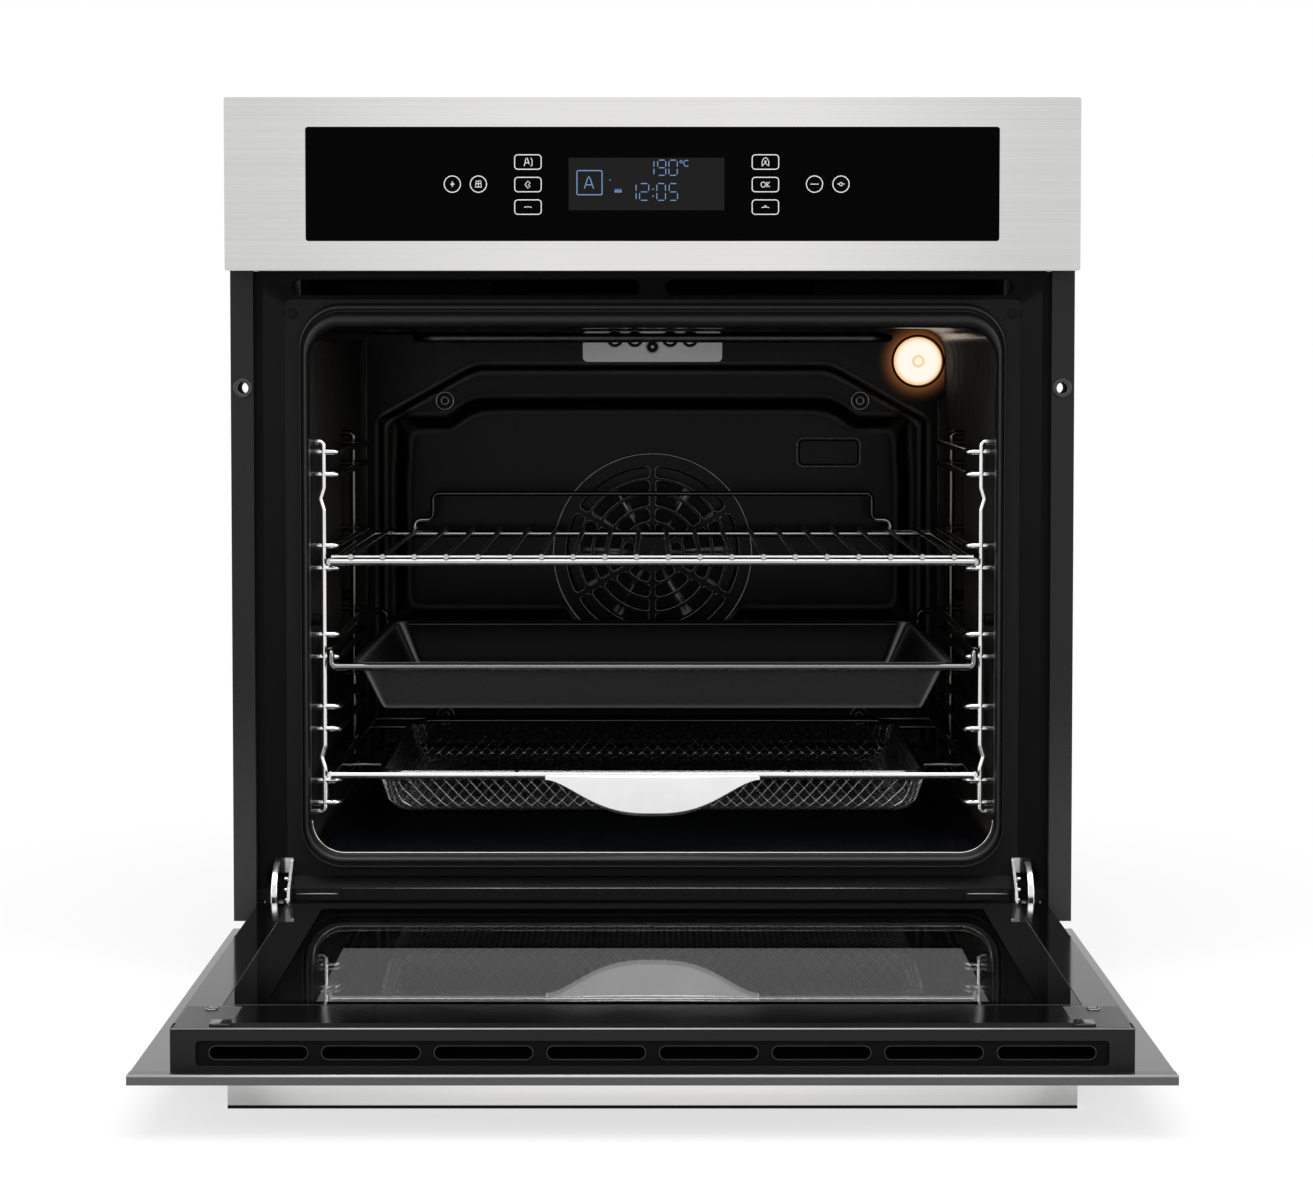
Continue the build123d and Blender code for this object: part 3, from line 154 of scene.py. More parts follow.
# %% Node trees and finishes
class Nodes:
    """A node tree that new nodes are added to."""

    def __init__(self, tree):
        """Keeps the tree."""
        self.tree = tree

    def node(self, kind, settings=None, inputs=None, output=0):
        """Adds a node of that type, sets it up, fills its sockets and returns one of its outputs."""
        made = self.tree.nodes.new(kind)
        for name, value in (settings or {}).items():
            setattr(made, name, value)
        for name, value in (inputs or {}).items():
            self.put(made.inputs[name], value)
        return Value(self, made.outputs[output])

    def put(self, socket, value):
        """Links a shader value to a socket, or writes a plain number or colour on it."""
        if isinstance(value, Value):
            self.tree.links.new(value.socket, socket)
        else:
            socket.default_value = value

    def place(self):
        """Where a point lies on the object, in metres."""
        return self.node("ShaderNodeTexCoord", output="Object")

    def along(self, axis):
        """How far a point lies along the object's X, Y or Z, in metres."""
        return self.node("ShaderNodeSeparateXYZ", inputs={0: self.place()}, output=axis)

    def noise(self, scale, detail=2.0, stretch=(1.0, 1.0, 1.0)):
        """Cloudy noise around 0.5, with that many clouds in a metre, drawn out where stretch is small."""
        spot = self.node("ShaderNodeVectorMath", {"operation": "MULTIPLY"}, {0: self.place(), 1: stretch})
        return self.node("ShaderNodeTexNoise", inputs={"Vector": spot, "Scale": scale, "Detail": detail})

    def mix(self, share, low, high):
        """Colour low where share is 0 and colour high where it is 1."""
        return self.node("ShaderNodeMix", {"data_type": "RGBA"}, {0: share, 6: low, 7: high}, output=2)

    def bump(self, height, depth, strength=1.0):
        """A normal that leans as if height, from 0 to 1, stood that many metres deep."""
        return self.node("ShaderNodeBump", inputs={"Height": height, "Distance": depth, "Strength": strength},
                         output="Normal")


class Finish(Nodes):
    """A material on the Principled shader."""

    def __init__(self, name):
        """Makes the material and takes hold of its shader."""
        self.material = bpy.data.materials.new(name)
        self.material.use_nodes = True
        super().__init__(self.material.node_tree)
        self.shader = self.tree.nodes["Principled BSDF"]

    def wear(self, **sockets):
        """Fills the Principled shader's sockets, named with underscores for spaces."""
        for name, value in sockets.items():
            self.put(self.shader.inputs[name.replace("_", " ")], value)
        return self.material

    def own_shader(self):
        """The Principled shader's output."""
        return Value(self, self.shader.outputs["BSDF"])

    def blend(self, share, low, high):
        """Shows the shader low where share is 0 and the shader high where it is 1."""
        both = self.node("ShaderNodeMixShader", inputs={0: share, 1: low, 2: high})
        self.tree.links.new(both.socket, self.tree.nodes["Material Output"].inputs["Surface"])
        return self.material

    def painted_highlight(self):
        """How much painted highlight a point gets, from 0 to 1, as the point's own attribute says."""
        return self.node("ShaderNodeAttribute", {"attribute_name": "painted_highlight"}, output="Fac")


def grey(level, warmth=0.0):
    """A grey of that linear brightness, redder and less blue as warmth grows."""
    return (level * (1 + warmth), level, level * (1 - warmth), 1.0)


print("shader helpers ready")

# %% [markdown]
# ## White studio
# The oven stands free on a white ground. The camera, the mirrors and the glass see a white surround of
# strength 1, while the light that falls on dull surfaces is softer and comes mostly from three large lamps.
# The floor adds a share of plain white to its own shading. The share grows to 1 away from the oven, so the
# floor keeps the soft shadow of the open door and runs into the white surround without a horizon.

# %% Surround
def seen_directly(nodes):
    """1 for rays from the camera, from a mirror or through glass, and 0 for scattered light."""
    paths = [nodes.node("ShaderNodeLightPath", output=name)
             for name in ("Is Camera Ray", "Is Glossy Ray", "Is Transmission Ray")]
    return paths[0].larger(paths[1]).larger(paths[2])


SURROUND_LIGHT = 0.45

world = bpy.data.worlds.new("studio")
world.use_nodes = True
bpy.context.scene.world = world
sky = Nodes(world.node_tree)
background = world.node_tree.nodes["Background"]
background.inputs["Color"].default_value = grey(1.0)
sky.put(background.inputs["Strength"], SURROUND_LIGHT + (1 - SURROUND_LIGHT) * seen_directly(sky))
print("light of the surround:", SURROUND_LIGHT)

# %% Floor
FLOOR_HALF = 6.0
FLOOR_WHITE_SHARE = 0.68
SHADOW_REACH = (0.35, 0.95)
floor_finish = Finish("studio_floor")
glow = floor_finish.node("ShaderNodeEmission", inputs={"Color": grey(1.0), "Strength": 1.0})
dull = floor_finish.node("ShaderNodeBsdfDiffuse", inputs={"Color": grey(0.9)})
floor_x, floor_y = map(floor_finish.along, "XY")
away = (floor_x ** 2.0 + floor_y ** 2.0) ** 0.5
white_share = FLOOR_WHITE_SHARE + (1 - FLOOR_WHITE_SHARE) * away.ramp(*SHADOW_REACH)
floor_finish.blend(white_share * seen_directly(floor_finish), dull, glow)

floor_mesh = bpy.data.meshes.new("studio_floor")
corners = [(sx * FLOOR_HALF, sy * FLOOR_HALF, cad_low.z) for sx, sy in ((-1, -1), (1, -1), (1, 1), (-1, 1))]
floor_mesh.from_pydata(corners, [], [(0, 1, 2, 3)])
floor_mesh.materials.append(floor_finish.material)
floor = bpy.data.objects.new("studio_floor", floor_mesh)
bpy.context.scene.collection.objects.link(floor)
print("floor at", round(cad_low.z, 4))

# %% Lamps
def softbox(name, place, aim, width, height, power):
    """A rectangular lamp at a place, turned towards a point."""
    lamp = bpy.data.lights.new(name, "AREA")
    lamp.shape = "RECTANGLE"
    lamp.size = width
    lamp.size_y = height
    lamp.energy = power
    holder = bpy.data.objects.new(name, lamp)
    holder.location = place
    direction = np.subtract(aim, place)
    flat = math.hypot(direction[0], direction[1])
    holder.rotation_euler = (math.atan2(flat, -direction[2]), 0.0, math.atan2(-direction[0], direction[1]))
    bpy.context.scene.collection.objects.link(holder)


softbox("lamp_above", (0.0, -0.6, 2.6), (0.0, 0.0, 0.2), 2.6, 2.0, 60.0)
softbox("lamp_left", (-2.4, -1.9, 1.3), (0.0, 0.0, 0.3), 1.2, 1.8, 26.0)
softbox("lamp_right", (2.4, -1.9, 1.3), (0.0, 0.0, 0.3), 1.2, 1.8, 26.0)
print("lamps:", len(bpy.data.lights))

# %% [markdown]
# ## Metals
# Brushed steel has scratches that all run one way: noise drawn out along the width gives the streaks, and
# they change the colour, the roughness and, very slightly, the slope. Chromed wire is the same idea without
# a direction. Galvanised sheet shows crystals, so it takes its patches from Voronoi cells. Most metals share
# a recipe, so what sets two of them apart is a row of numbers in a table.

# %% Brushed steel
# In metres: the handle's front face gets a painted shadow line below this height, in front of this short
# stretch of depth
HANDLE_SHADOW = -0.024
HANDLE_FRONT = (-0.3831, -0.3827)


def brushed_steel(name, low, high, rough, shadow_line=None):
    """Streaks a third of a metre long and 0.4 mm apart in height, over slow clouds, with a painted highlight
    that makes it brightest in the middle. Below a shadow line, the handle's front face is black: a painted
    shadow."""
    finish = Finish(name)
    streak = finish.noise(1.0, 3.0, (3.0, 900.0, 2600.0))
    cloud = finish.noise(5.0, 2.0, (1.0, 1.0, 0.4))
    # Painted highlight: the middle of the width is brighter
    middle = 1 - abs(finish.along("X")).ramp(0.06, 0.3)
    shade = 0.45 * streak + 0.2 * cloud + 0.35 * middle
    colour = finish.mix(shade, grey(low), grey(high, 0.01))
    if shadow_line:
        # Painted shadow: the bottom of the handle's front face is black
        lit = finish.along("Z").ramp(shadow_line, shadow_line + 0.0006)
        lit = lit.larger(finish.along("Y").ramp(*HANDLE_FRONT))
        colour = finish.mix(lit, grey(0.01), colour)
    return finish.wear(Base_Color=colour, Metallic=1.0, Roughness=rough + 0.16 * streak,
                       Normal=finish.bump(streak, 0.00002))


def trim_steel():
    """The steel lip of the door, brushed along its length, in a dark grey with brighter ends: a painted
    reflection.
    """
    finish = Finish("trim_steel")
    streak = finish.noise(1.0, 3.0, (4.0, 900.0, 2600.0))
    # Painted reflection: dark steel that is brighter towards the ends
    shade = 0.6 * streak + 0.4 * abs(finish.along("X")).ramp(0.12, 0.31)
    return finish.wear(Base_Color=finish.mix(shade, grey(0.08), grey(0.13)), Metallic=1.0,
                       Roughness=0.28 + 0.12 * streak)


metals = {
    "steel_brushed": brushed_steel("steel_brushed", 0.46, 0.86, 0.24),
    # The handle's copy of the steel is brighter than the panel's: painted light
    "handle_steel": brushed_steel("handle_steel", 0.68, 0.99, 0.24, HANDLE_SHADOW),
    "trim_steel": trim_steel(),
}
print("brushed finishes:", len(metals))

# %% Chromed wire
def chrome(name, bright, dull, painted_shade=None):
    """Bright plated wire whose gloss changes in patches. A given shade darkens the plating where it is 1:
    painted shade.
    """
    finish = Finish(name)
    patch = finish.noise(60.0, 3.0)
    fine = finish.noise(900.0, 1.0)
    plating = finish.mix(patch, grey(bright * 0.82), grey(bright))
    if painted_shade:
        plating = finish.mix(painted_shade(finish), plating, grey(bright * 0.12, 0.12))
    return finish.wear(Base_Color=plating, Metallic=1.0, Roughness=dull + 0.1 * patch,
                       Normal=finish.bump(fine, 0.00002))


def behind(start, end):
    """Painted shade that grows from one depth in the oven to another."""
    return lambda finish: finish.along("Y").ramp(start, end)


def before(start, end, share):
    """A share of painted shade in front, which fades from one depth in the oven to another."""
    return lambda finish: share * (1 - finish.along("Y").ramp(start, end))


def above(height):
    """Painted shade on what stands higher than a height."""
    return lambda finish: finish.along("Z").ramp(height, height + 0.002)


def outside(width):
    """Painted shade on what lies further from the middle than a width."""
    return lambda finish: abs(finish.along("X")).ramp(width, width + 0.001)


# Brightness, dullness and painted shade of each plated wire or sheet; the lower brightness of the shelf and
# the carrier is painted shade too
CHROMES = {
    "wire_chrome": (0.86, 0.1),
    "rack_chrome": (0.86, 0.1, behind(0.046, 0.075)),
    "shelf_chrome": (0.54, 0.12, above(0.279)),
    "carrier_chrome": (0.22, 0.1, behind(0.034, 0.06)),
    "basket_chrome": (0.86, 0.1, behind(0.046, 0.07)),
    "net_steel": (0.97, 0.24, before(0.046, 0.12, 0.5)),
    "plate_steel": (0.97, 0.14),
    "bracket_chrome": (0.72, 0.16, outside(0.2615)),
    "claw_chrome": (0.8, 0.14),
}
metals.update({name: chrome(name, *numbers) for name, numbers in CHROMES.items()})
print("chromed finishes:", len(CHROMES))

# %% Plain metal, fan wheel and galvanised sheet
FAN_HEIGHT = 250.0
FAN_BLADES = 12


def plain_metal(name, low, high, rough):
    """Rolled or turned metal: two close greys in fine clouds."""
    finish = Finish(name)
    cloud = finish.noise(120.0, 4.0)
    return finish.wear(Base_Color=finish.mix(cloud, grey(low), grey(high)), Metallic=1.0,
                       Roughness=rough + 0.15 * cloud)


def fan_steel():
    """Steel wheel: painted highlights in patches on its blades, which come round with the angle, and dark
    between.
    """
    finish = Finish("fan_steel")
    x, z = map(finish.along, "XZ")
    angle = x.math("ARCTAN2", z - FAN_HEIGHT * MM, x)
    # Painted highlight: bright stripes where the blades stand, in patches
    blade_highlight = (FAN_BLADES * angle + math.pi / 2).sine().ramp(0.5, 0.9)
    cloud = finish.noise(90.0, 3.0)
    patch = finish.noise(45.0, 2.0).ramp(0.42, 0.66)
    return finish.wear(Base_Color=finish.mix(blade_highlight * patch, grey(0.006), grey(0.2)), Metallic=1.0,
                       Roughness=0.3 + 0.15 * cloud)


def galvanised():
    """Zinc crystals about a centimetre wide, each with its own grey."""
    finish = Finish("galvanised")
    crystal = finish.node("ShaderNodeTexVoronoi", inputs={"Vector": finish.place(), "Scale": 90.0},
                          output="Color")
    tone = finish.node("ShaderNodeSeparateColor", inputs={0: crystal}, output=0)
    haze = finish.noise(300.0, 3.0)
    shade = 0.7 * tone + 0.3 * haze
    return finish.wear(Base_Color=finish.mix(shade, grey(0.36), grey(0.54)), Metallic=1.0,
                       Roughness=0.44 + 0.18 * tone)


# The two greys and the roughness of each plain metal; line_steel, lip_steel and edge_steel are pale beads
# that stand for highlight lines along edges and rings: painted highlights
PLAIN_METALS = {
    "line_steel": (0.3, 0.4, 0.3),
    "lip_steel": (0.2, 0.3, 0.2),
    "edge_steel": (0.58, 0.66, 0.25),
    "screw_steel": (0.4, 0.6, 0.25),
    "terminal_steel": (0.32, 0.46, 0.3),
    "heater_dark": (0.03, 0.08, 0.3),
    "arm_steel": (0.4, 0.55, 0.3),
    # Nearly black sheet, so the duct and the blower look dark inside: painted shade
    "duct_sheet": (0.02, 0.05, 0.5),
    "motor_grey": (0.3, 0.42, 0.42),
}
metals.update({name: plain_metal(name, *numbers) for name, numbers in PLAIN_METALS.items()})
metals["bush_plastic"] = plain_metal("bush_ring", 0.04, 0.08, 0.18)
metals["fan_steel"] = fan_steel()
metals["galvanised"] = galvanised()
print("metal finishes in all:", len(metals))

# %% [markdown]
# ## Enamel, paint, rubber and plastic
# The cavity is sheet steel under black glass enamel: almost black, glossy, with a faint orange-peel slope and
# specks. The frame and the flanges wear a finer satin paint. Most of them are one recipe with other numbers:
# a dark colour that varies a little, a roughness, a low or high gloss and a height for the skin.

# %% Black coatings
def dark_skin(name, level, rough, gloss, skin_scale, skin_depth, painted_light_foot=None):
    """Black coating: specks, slow changes of roughness and a rippled skin. A foot gives the height up to
    which another, paler grey shows, the height from which the coat does, and that grey: painted light low
    down."""
    finish = Finish(name)
    speck = finish.noise(skin_scale * 2.5, 2.0)
    slow = finish.noise(14.0, 2.0)
    ripple = finish.noise(skin_scale, 2.0)
    coat = finish.mix(speck, grey(level * 0.7), grey(level * 1.3))
    if painted_light_foot:
        # Painted light: a paler grey low down
        coat = finish.mix(finish.along("Z").ramp(painted_light_foot[0], painted_light_foot[1]), grey(painted_light_foot[2]), coat)
    return finish.wear(Specular_IOR_Level=gloss, Base_Color=coat, Roughness=rough + 0.08 * slow,
                       Normal=finish.bump(ripple, skin_depth))


# Level, roughness, gloss, scale and depth of the skin, and the foot of each black coating; the paler feet of
# the flanges, the frame and the gasket are painted light
DARK_SKINS = {
    "flange_black": (0.006, 0.34, 0.24, 900.0, 0.00003, (0.05, 0.2, 0.03)),
    "frame_black": (0.003, 0.3, 0.05, 700.0, 0.00003, (0.0368, 0.037, 0.012)),
    "front_enamel": (0.006, 0.3, 0.1, 400.0, 0.00003),
    # pan_rim is far paler than the pan's enamel: a painted highlight along the rim
    "pan_rim": (0.14, 0.25, 0.4, 500.0, 0.00002),
    "gasket_rubber": (0.006, 0.36, 0.3, 800.0, 0.00005, (0.06, 0.07, 0.02)),
    "door_black": (0.002, 0.05, 0.1, 300.0, 0.0),
    "vent_lip": (0.012, 0.25, 0.3, 900.0, 0.00002),
    "shade_black": (0.001, 0.7, 0.02, 500.0, 0.0),
    "edge_gloss": (0.012, 0.2, 0.4, 500.0, 0.00001),
    "screw_black": (0.004, 0.25, 0.08, 500.0, 0.00002),
    "clip_plastic": (0.04, 0.4, 0.3, 900.0, 0.00004),
    "rotor_plastic": (0.01, 0.45, 0.3, 700.0, 0.00003),
    "display_black": (0.006, 0.3, 0.3, 600.0, 0.00002),
    "terminal_plastic": (0.012, 0.45, 0.3, 700.0, 0.00004),
}
skins = {name: dark_skin(name, *numbers) for name, numbers in DARK_SKINS.items()}
print("black coatings:", len(skins))

# %% Enamel of the cavity, the fan cover and the pan, and plastic of the door's edge
# Start and end of each change across the enamel or the plastic, in metres
CAVITY_SIDE = (0.24, 0.244)
CAVITY_CEILING = (0.432, 0.435)
CAVITY_FLOOR = (0.061, 0.066)
VENT_SUNK = (-0.4427, -0.4422)


def cavity_enamel():
    """Enamel on sheet that is not quite flat: waves on the ceiling and on the duller side walls. Painted
    light: a warm rear wall, side walls that are paler and warmer, and a floor that is paler and slightly
    blue."""
    finish = Finish("cavity_enamel")
    ripple = finish.noise(160.0, 2.0)
    wave = finish.noise(45.0, 1.0)
    x, z = map(finish.along, "XZ")
    side_wall = abs(x).ramp(*CAVITY_SIDE)
    thin_sheet = side_wall.larger(z.ramp(*CAVITY_CEILING))
    height = 0.012 * ripple + thin_sheet * wave
    # Painted light: warm rear, paler warm side walls and a paler bluish floor
    rear = finish.mix(ripple, grey(0.002, 0.25), grey(0.004, 0.25))
    wall = finish.mix(side_wall, rear, grey(0.025, 0.1))
    colour = finish.mix(z.ramp(*CAVITY_FLOOR), (0.006, 0.007, 0.01, 1.0), wall)
    return finish.wear(Specular_IOR_Level=0.12, Base_Color=colour, Normal=finish.bump(height, 0.003),
                       Roughness=0.2 + 0.08 * wave + 0.5 * side_wall)


def cover_enamel():
    """Enamel with a painted highlight: pale where the sheet is bent sharply."""
    finish = Finish("cover_enamel")
    ripple = finish.noise(160.0, 2.0)
    # Painted highlight: pale grey where the sheet is bent
    colour = finish.mix(finish.painted_highlight(), grey(0.003, 0.1), grey(0.2, 0.05))
    return finish.wear(Specular_IOR_Level=0.1, Base_Color=colour, Roughness=0.22 + 0.06 * ripple,
                       Normal=finish.bump(ripple, 0.00004))


def vent_black():
    """Satin plastic, duller in the sunk band that holds the slots, and darker there: painted shade."""
    finish = Finish("vent_black")
    speck = finish.noise(900.0, 2.0)
    sunk = finish.along("Y").ramp(*VENT_SUNK)
    # Painted shade: the sunk band is darker
    return finish.wear(Specular_IOR_Level=0.1, Base_Color=finish.mix(sunk, grey(0.014), grey(0.0005)),
                       Roughness=0.36 + 0.08 * speck + 0.3 * sunk, Normal=finish.bump(speck, 0.00003))


def pan_enamel():
    """Speckled enamel, darker towards the rear with painted shade, and pale where the sheet is bent: a
    painted highlight.
    """
    finish = Finish("pan_enamel")
    speck = finish.noise(500.0, 2.0)
    ripple = finish.noise(200.0, 2.0)
    speckled = finish.mix(speck, grey(0.02), grey(0.034))
    # Painted shade: darker towards the rear
    coat = finish.mix(finish.along("Y").ramp(0.05, 0.3), speckled, grey(0.003))
    # Painted highlight: pale grey at the bends and the corners
    return finish.wear(Specular_IOR_Level=0.2, Base_Color=finish.mix(finish.painted_highlight(), coat, grey(0.7)),
                       Roughness=0.2 + 0.08 * ripple, Normal=finish.bump(ripple, 0.00002))


skins.update({"cavity_enamel": cavity_enamel(), "cover_enamel": cover_enamel(),
              "pan_enamel": pan_enamel(), "vent_black": vent_black()})
print("black finishes:", len(skins))

# %% Pale parts and wool
def pale_skin(name, low, high, rough):
    """Plastic or ceramic in two close colours."""
    finish = Finish(name)
    cloud = finish.noise(220.0, 4.0)
    return finish.wear(Base_Color=finish.mix(cloud, low, high), Roughness=rough + 0.1 * cloud)


def wool():
    """Mineral wool, black at the front where it could be seen past the hinges: painted shade."""
    finish = Finish("wool")
    cloud = finish.noise(220.0, 4.0)
    # Painted shade: black at the front
    painted_shade_front = finish.along("Y").ramp(0.06, 0.07)
    fibre = finish.mix(cloud, (0.5, 0.42, 0.2, 1.0), (0.72, 0.62, 0.34, 1.0))
    return finish.wear(Base_Color=finish.mix(painted_shade_front, grey(0.002), fibre), Roughness=0.85 + 0.1 * cloud)


skins.update({
    "wool": wool(),
    "lamp_ceramic": pale_skin("lamp_ceramic", grey(0.55, 0.04), grey(0.7, 0.03), 0.55),
    "board_green": pale_skin("board_green", (0.01, 0.09, 0.03, 1.0), (0.02, 0.14, 0.05, 1.0), 0.4),
})
print("black and pale finishes:", len(skins))

# %% [markdown]
# ## Glass
# The control glass is printed black on its back, with a slightly paler window over the display. The door has
# three panes. The inner one is clear inside a printed border, the middle one is clear all over, and the outer
# one is tinted with a smaller window. A printed border is black paint under glass: it lets nothing through
# and still mirrors the cavity above it, so it is a second shader that takes over where the window ends. The
# lamp is lit: its glass glows, and a painted glow on the enamel round it fades with the distance from its
# middle.

# %% Panes
def window_share(finish, node, side, start, end):
    """1 inside a window on a door pane, set in by side, by start at the hinge and by end at the far edge."""
    low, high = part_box(node)
    x, y = map(finish.along, "XY")
    wide = abs(x) < (high.x - side)
    return wide * (y < (high.y - start)) * (y > (low.y + end))


def control_glass():
    """Black glass, a little paler where the display lies behind it."""
    finish = Finish("panel_glass")
    low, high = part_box("display_module")
    x, z = map(finish.along, "XZ")
    lit = (x > low.x) * (x < high.x) * (z > low.z) * (z < high.z)
    haze = finish.noise(40.0, 2.0)
    return finish.wear(Specular_IOR_Level=0.015, Base_Color=finish.mix(lit, grey(0.0008), grey(0.012)),
                       Roughness=0.05 + 0.04 * haze)


def door_glass(name, node, insets, clear, bend):
    """Clear glass inside the insets of a pane, and black paint outside, with painted light that makes it
    paler towards the hinge. The bend sets how much both of them mirror."""
    finish = Finish(name)
    haze = finish.noise(30.0, 2.0)
    finish.wear(Transmission_Weight=1.0, IOR=bend, Base_Color=clear, Roughness=0.004 + 0.004 * haze)
    # Painted light: the printed border is paler towards the hinge
    print_with_painted_light = finish.mix(finish.along("Y").ramp(-0.4, -0.2), grey(0.001), grey(0.01))
    border = finish.node("ShaderNodeBsdfPrincipled",
                         inputs={"Base Color": print_with_painted_light, "IOR": bend, "Roughness": 0.006})
    return finish.blend(window_share(finish, node, *insets), border, finish.own_shader())


def outer_glass():
    """Tinted window in a pane that is printed black: glass that hardly mirrors, in a black that does."""
    finish = Finish("door_glass_outer")
    share = window_share(finish, "door_outer_glass", 85.5 * MM, 76 * MM, 95 * MM)
    haze = finish.noise(30.0, 2.0)
    finish.wear(IOR=1.42, Base_Color=finish.mix(haze, grey(0.008), grey(0.011)),
                Roughness=0.006 + 0.006 * haze)
    window = finish.node("ShaderNodeBsdfGlass", inputs={"Color": grey(0.42), "Roughness": 0.0, "IOR": 1.02})
    return finish.blend(share, finish.own_shader(), window)


INNER_INSETS = (25 * MM, 20 * MM, 11 * MM)
NO_INSETS = (0.0, 0.0, 0.0)
glasses = {
    "panel_glass": control_glass(),
    "door_glass_inner": door_glass("door_glass_inner", "door_inner_pane", INNER_INSETS, grey(0.94), 1.09),
    "door_glass_middle": door_glass("door_glass_middle", "door_middle_pane", NO_INSETS, grey(0.96), 1.01),
    "door_glass_outer": outer_glass(),
}
print("panes:", len(glasses))

# %% Lamp
def from_lamp(finish):
    """Distance from the middle of the lamp's glass, as a share of the glass's radius."""
    low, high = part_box("lamp_lens")
    x, z = map(finish.along, "XZ")
    right = x - (low.x + high.x) / 2
    up = z - (low.z + high.z) / 2
    return (right ** 2.0 + up ** 2.0) ** 0.5 / ((high.x - low.x) / 2)


def lamp_glass():
    """Lit glass: white, with a warm ring and a warm edge, by the distance from the middle."""
    finish = Finish("lamp_glass")
    away = from_lamp(finish)
    ring = away.ramp(0.12, 0.2) * (1 - away.ramp(0.22, 0.3))
    edge = away.ramp(0.8, 1.0)
    warm = finish.mix(ring.larger(edge), (1.0, 0.93, 0.82, 1.0), (1.0, 0.62, 0.3, 1.0))
    return finish.wear(Base_Color=grey(0.1), Roughness=0.3 + 0.1 * ring, Emission_Color=warm,
                       Emission_Strength=1.0)


def lamp_light():
    """A painted glow of the lamp on the enamel round it, which fades with the distance from the lamp."""
    finish = Finish("lamp_light")
    fade = (1 - from_lamp(finish).ramp(0.7, 1.9)) ** 2.0
    return finish.wear(Base_Color=grey(0.003), Roughness=0.24 + 0.05 * fade, Specular_IOR_Level=0.12,
                       Emission_Color=finish.mix(fade, grey(0.0), (0.3, 0.1, 0.028, 1.0)),
                       Emission_Strength=1.0)


def bulb_glow():
    """The lit bulb, warm by itself."""
    finish = Finish("bulb_glow")
    haze = finish.noise(200.0, 2.0)
    return finish.wear(Base_Color=grey(0.8), Roughness=0.2 + 0.1 * haze, Emission_Strength=1.0,
                       Emission_Color=(1.0, 0.8, 0.5, 1.0))


glasses.update({"lamp_glass": lamp_glass(), "lamp_light": lamp_light(), "bulb_glow": bulb_glow()})
print("glass finishes:", len(glasses))

# %% [markdown]
# ## Dress the solids
# Every solid in the frame names the finish that it wears. A few wear a close relation of it: the racks and
# trays are darker towards the back, the shelf higher up and the hinge brackets at their outer side, all
# painted shade; the duct is nearly black, painted shade; the door's steel lip is dark with brighter ends, a
# painted reflection; and the enamelled screws are black. The solids stay exactly where they are.

# %% Put the finishes on the nodes
finishes = {**metals, **skins, **glasses}
own_finish = {
    "rack_left": "rack_chrome", "rack_right": "rack_chrome", "wire_shelf": "shelf_chrome",
    "pan_carrier": "carrier_chrome", "basket_frame": "basket_chrome", "terminal_plate": "terminal_steel",
    "cover_screws": "screw_black", "round_head_screws": "screw_black", "rack_studs": "screw_black",
    "door_edge_trim": "trim_steel", "air_duct": "duct_sheet", "blower_housing": "duct_sheet",
    "hinge_strips": "edge_gloss",
}
for part in frame["record"]["subparts"]:
    node = frame["nodes"][part["node"]]
    node.data.materials.clear()
    node.data.materials.append(finishes[own_finish.get(part["node"], part["material_slot"])])

# %% [markdown]
# ## Meshes from arrays
# The pieces that follow are surfaces on a grid: rows of points that are worked out all at once. One helper
# turns the rows into faces, and another makes the mesh, gives it a finish and hangs it on the right moving
# body. Most small pieces are a section carried along a path, so that has a helper too.

# %% Mesh helpers
record_slots = [entry["slot"] for entry in frame["record"]["materials"]]


def grid_faces(rows, columns, ring_rows=False, ring_columns=False):
    """The four corners of every cell of a grid. A ring closes the grid on itself in that direction."""
    row = np.arange(rows if ring_rows else rows - 1)[:, None]
    column = np.arange(columns if ring_columns else columns - 1)[None, :]
    next_row = (row + 1) % rows
    next_column = (column + 1) % columns
    cells = [row * columns + column, row * columns + next_column,
             next_row * columns + next_column, next_row * columns + column]
    return np.stack(cells, -1).reshape(-1, 4)


def make_piece(name, points, faces, slot, body, smooth=True, stands_for=()):
    """Makes a mesh object, turns its faces outwards, dresses it and lets it ride on a body."""
    mesh = bpy.data.meshes.new(name)
    mesh.from_pydata(np.asarray(points).reshape(-1, 3).tolist(), [], [list(face) for face in faces])
    work = bmesh.new()
    work.from_mesh(mesh)
    bmesh.ops.recalc_face_normals(work, faces=work.faces)
    work.to_mesh(mesh)
    work.free()
    mesh.polygons.foreach_set("use_smooth", np.full(len(mesh.polygons), smooth))
    mesh.materials.append(finishes[slot])
    piece = bpy.data.objects.new(name, mesh)
    bpy.context.scene.collection.objects.link(piece)
    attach(piece, body)
    slot in record_slots
    if stands_for:
        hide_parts(*stands_for)
    return piece


def rounded_ring(half_x, half_z, radius, per_corner=12):
    """Points of a rounded rectangle round the origin: four quarter circles, joined by straight runs."""
    turn = np.arange(4)[:, None] * np.pi / 2 - np.pi / 2 + np.linspace(0, np.pi / 2, per_corner)[None, :]
    side_x = np.array([1, 1, -1, -1])[:, None]
    side_z = np.array([-1, 1, 1, -1])[:, None]
    x = side_x * (half_x - radius) + radius * np.cos(turn)
    z = side_z * (half_z - radius) + radius * np.sin(turn)
    return np.stack([x, z], -1).reshape(-1, 2)


def joined(parts):
    """Several sets of points and faces as one set."""
    points = [part[0] for part in parts]
    starts = np.cumsum([0] + [len(group) for group in points[:-1]])
    faces = [[corner + start for corner in face] for part, start in zip(parts, starts) for face in part[1]]
    return np.concatenate(points), faces


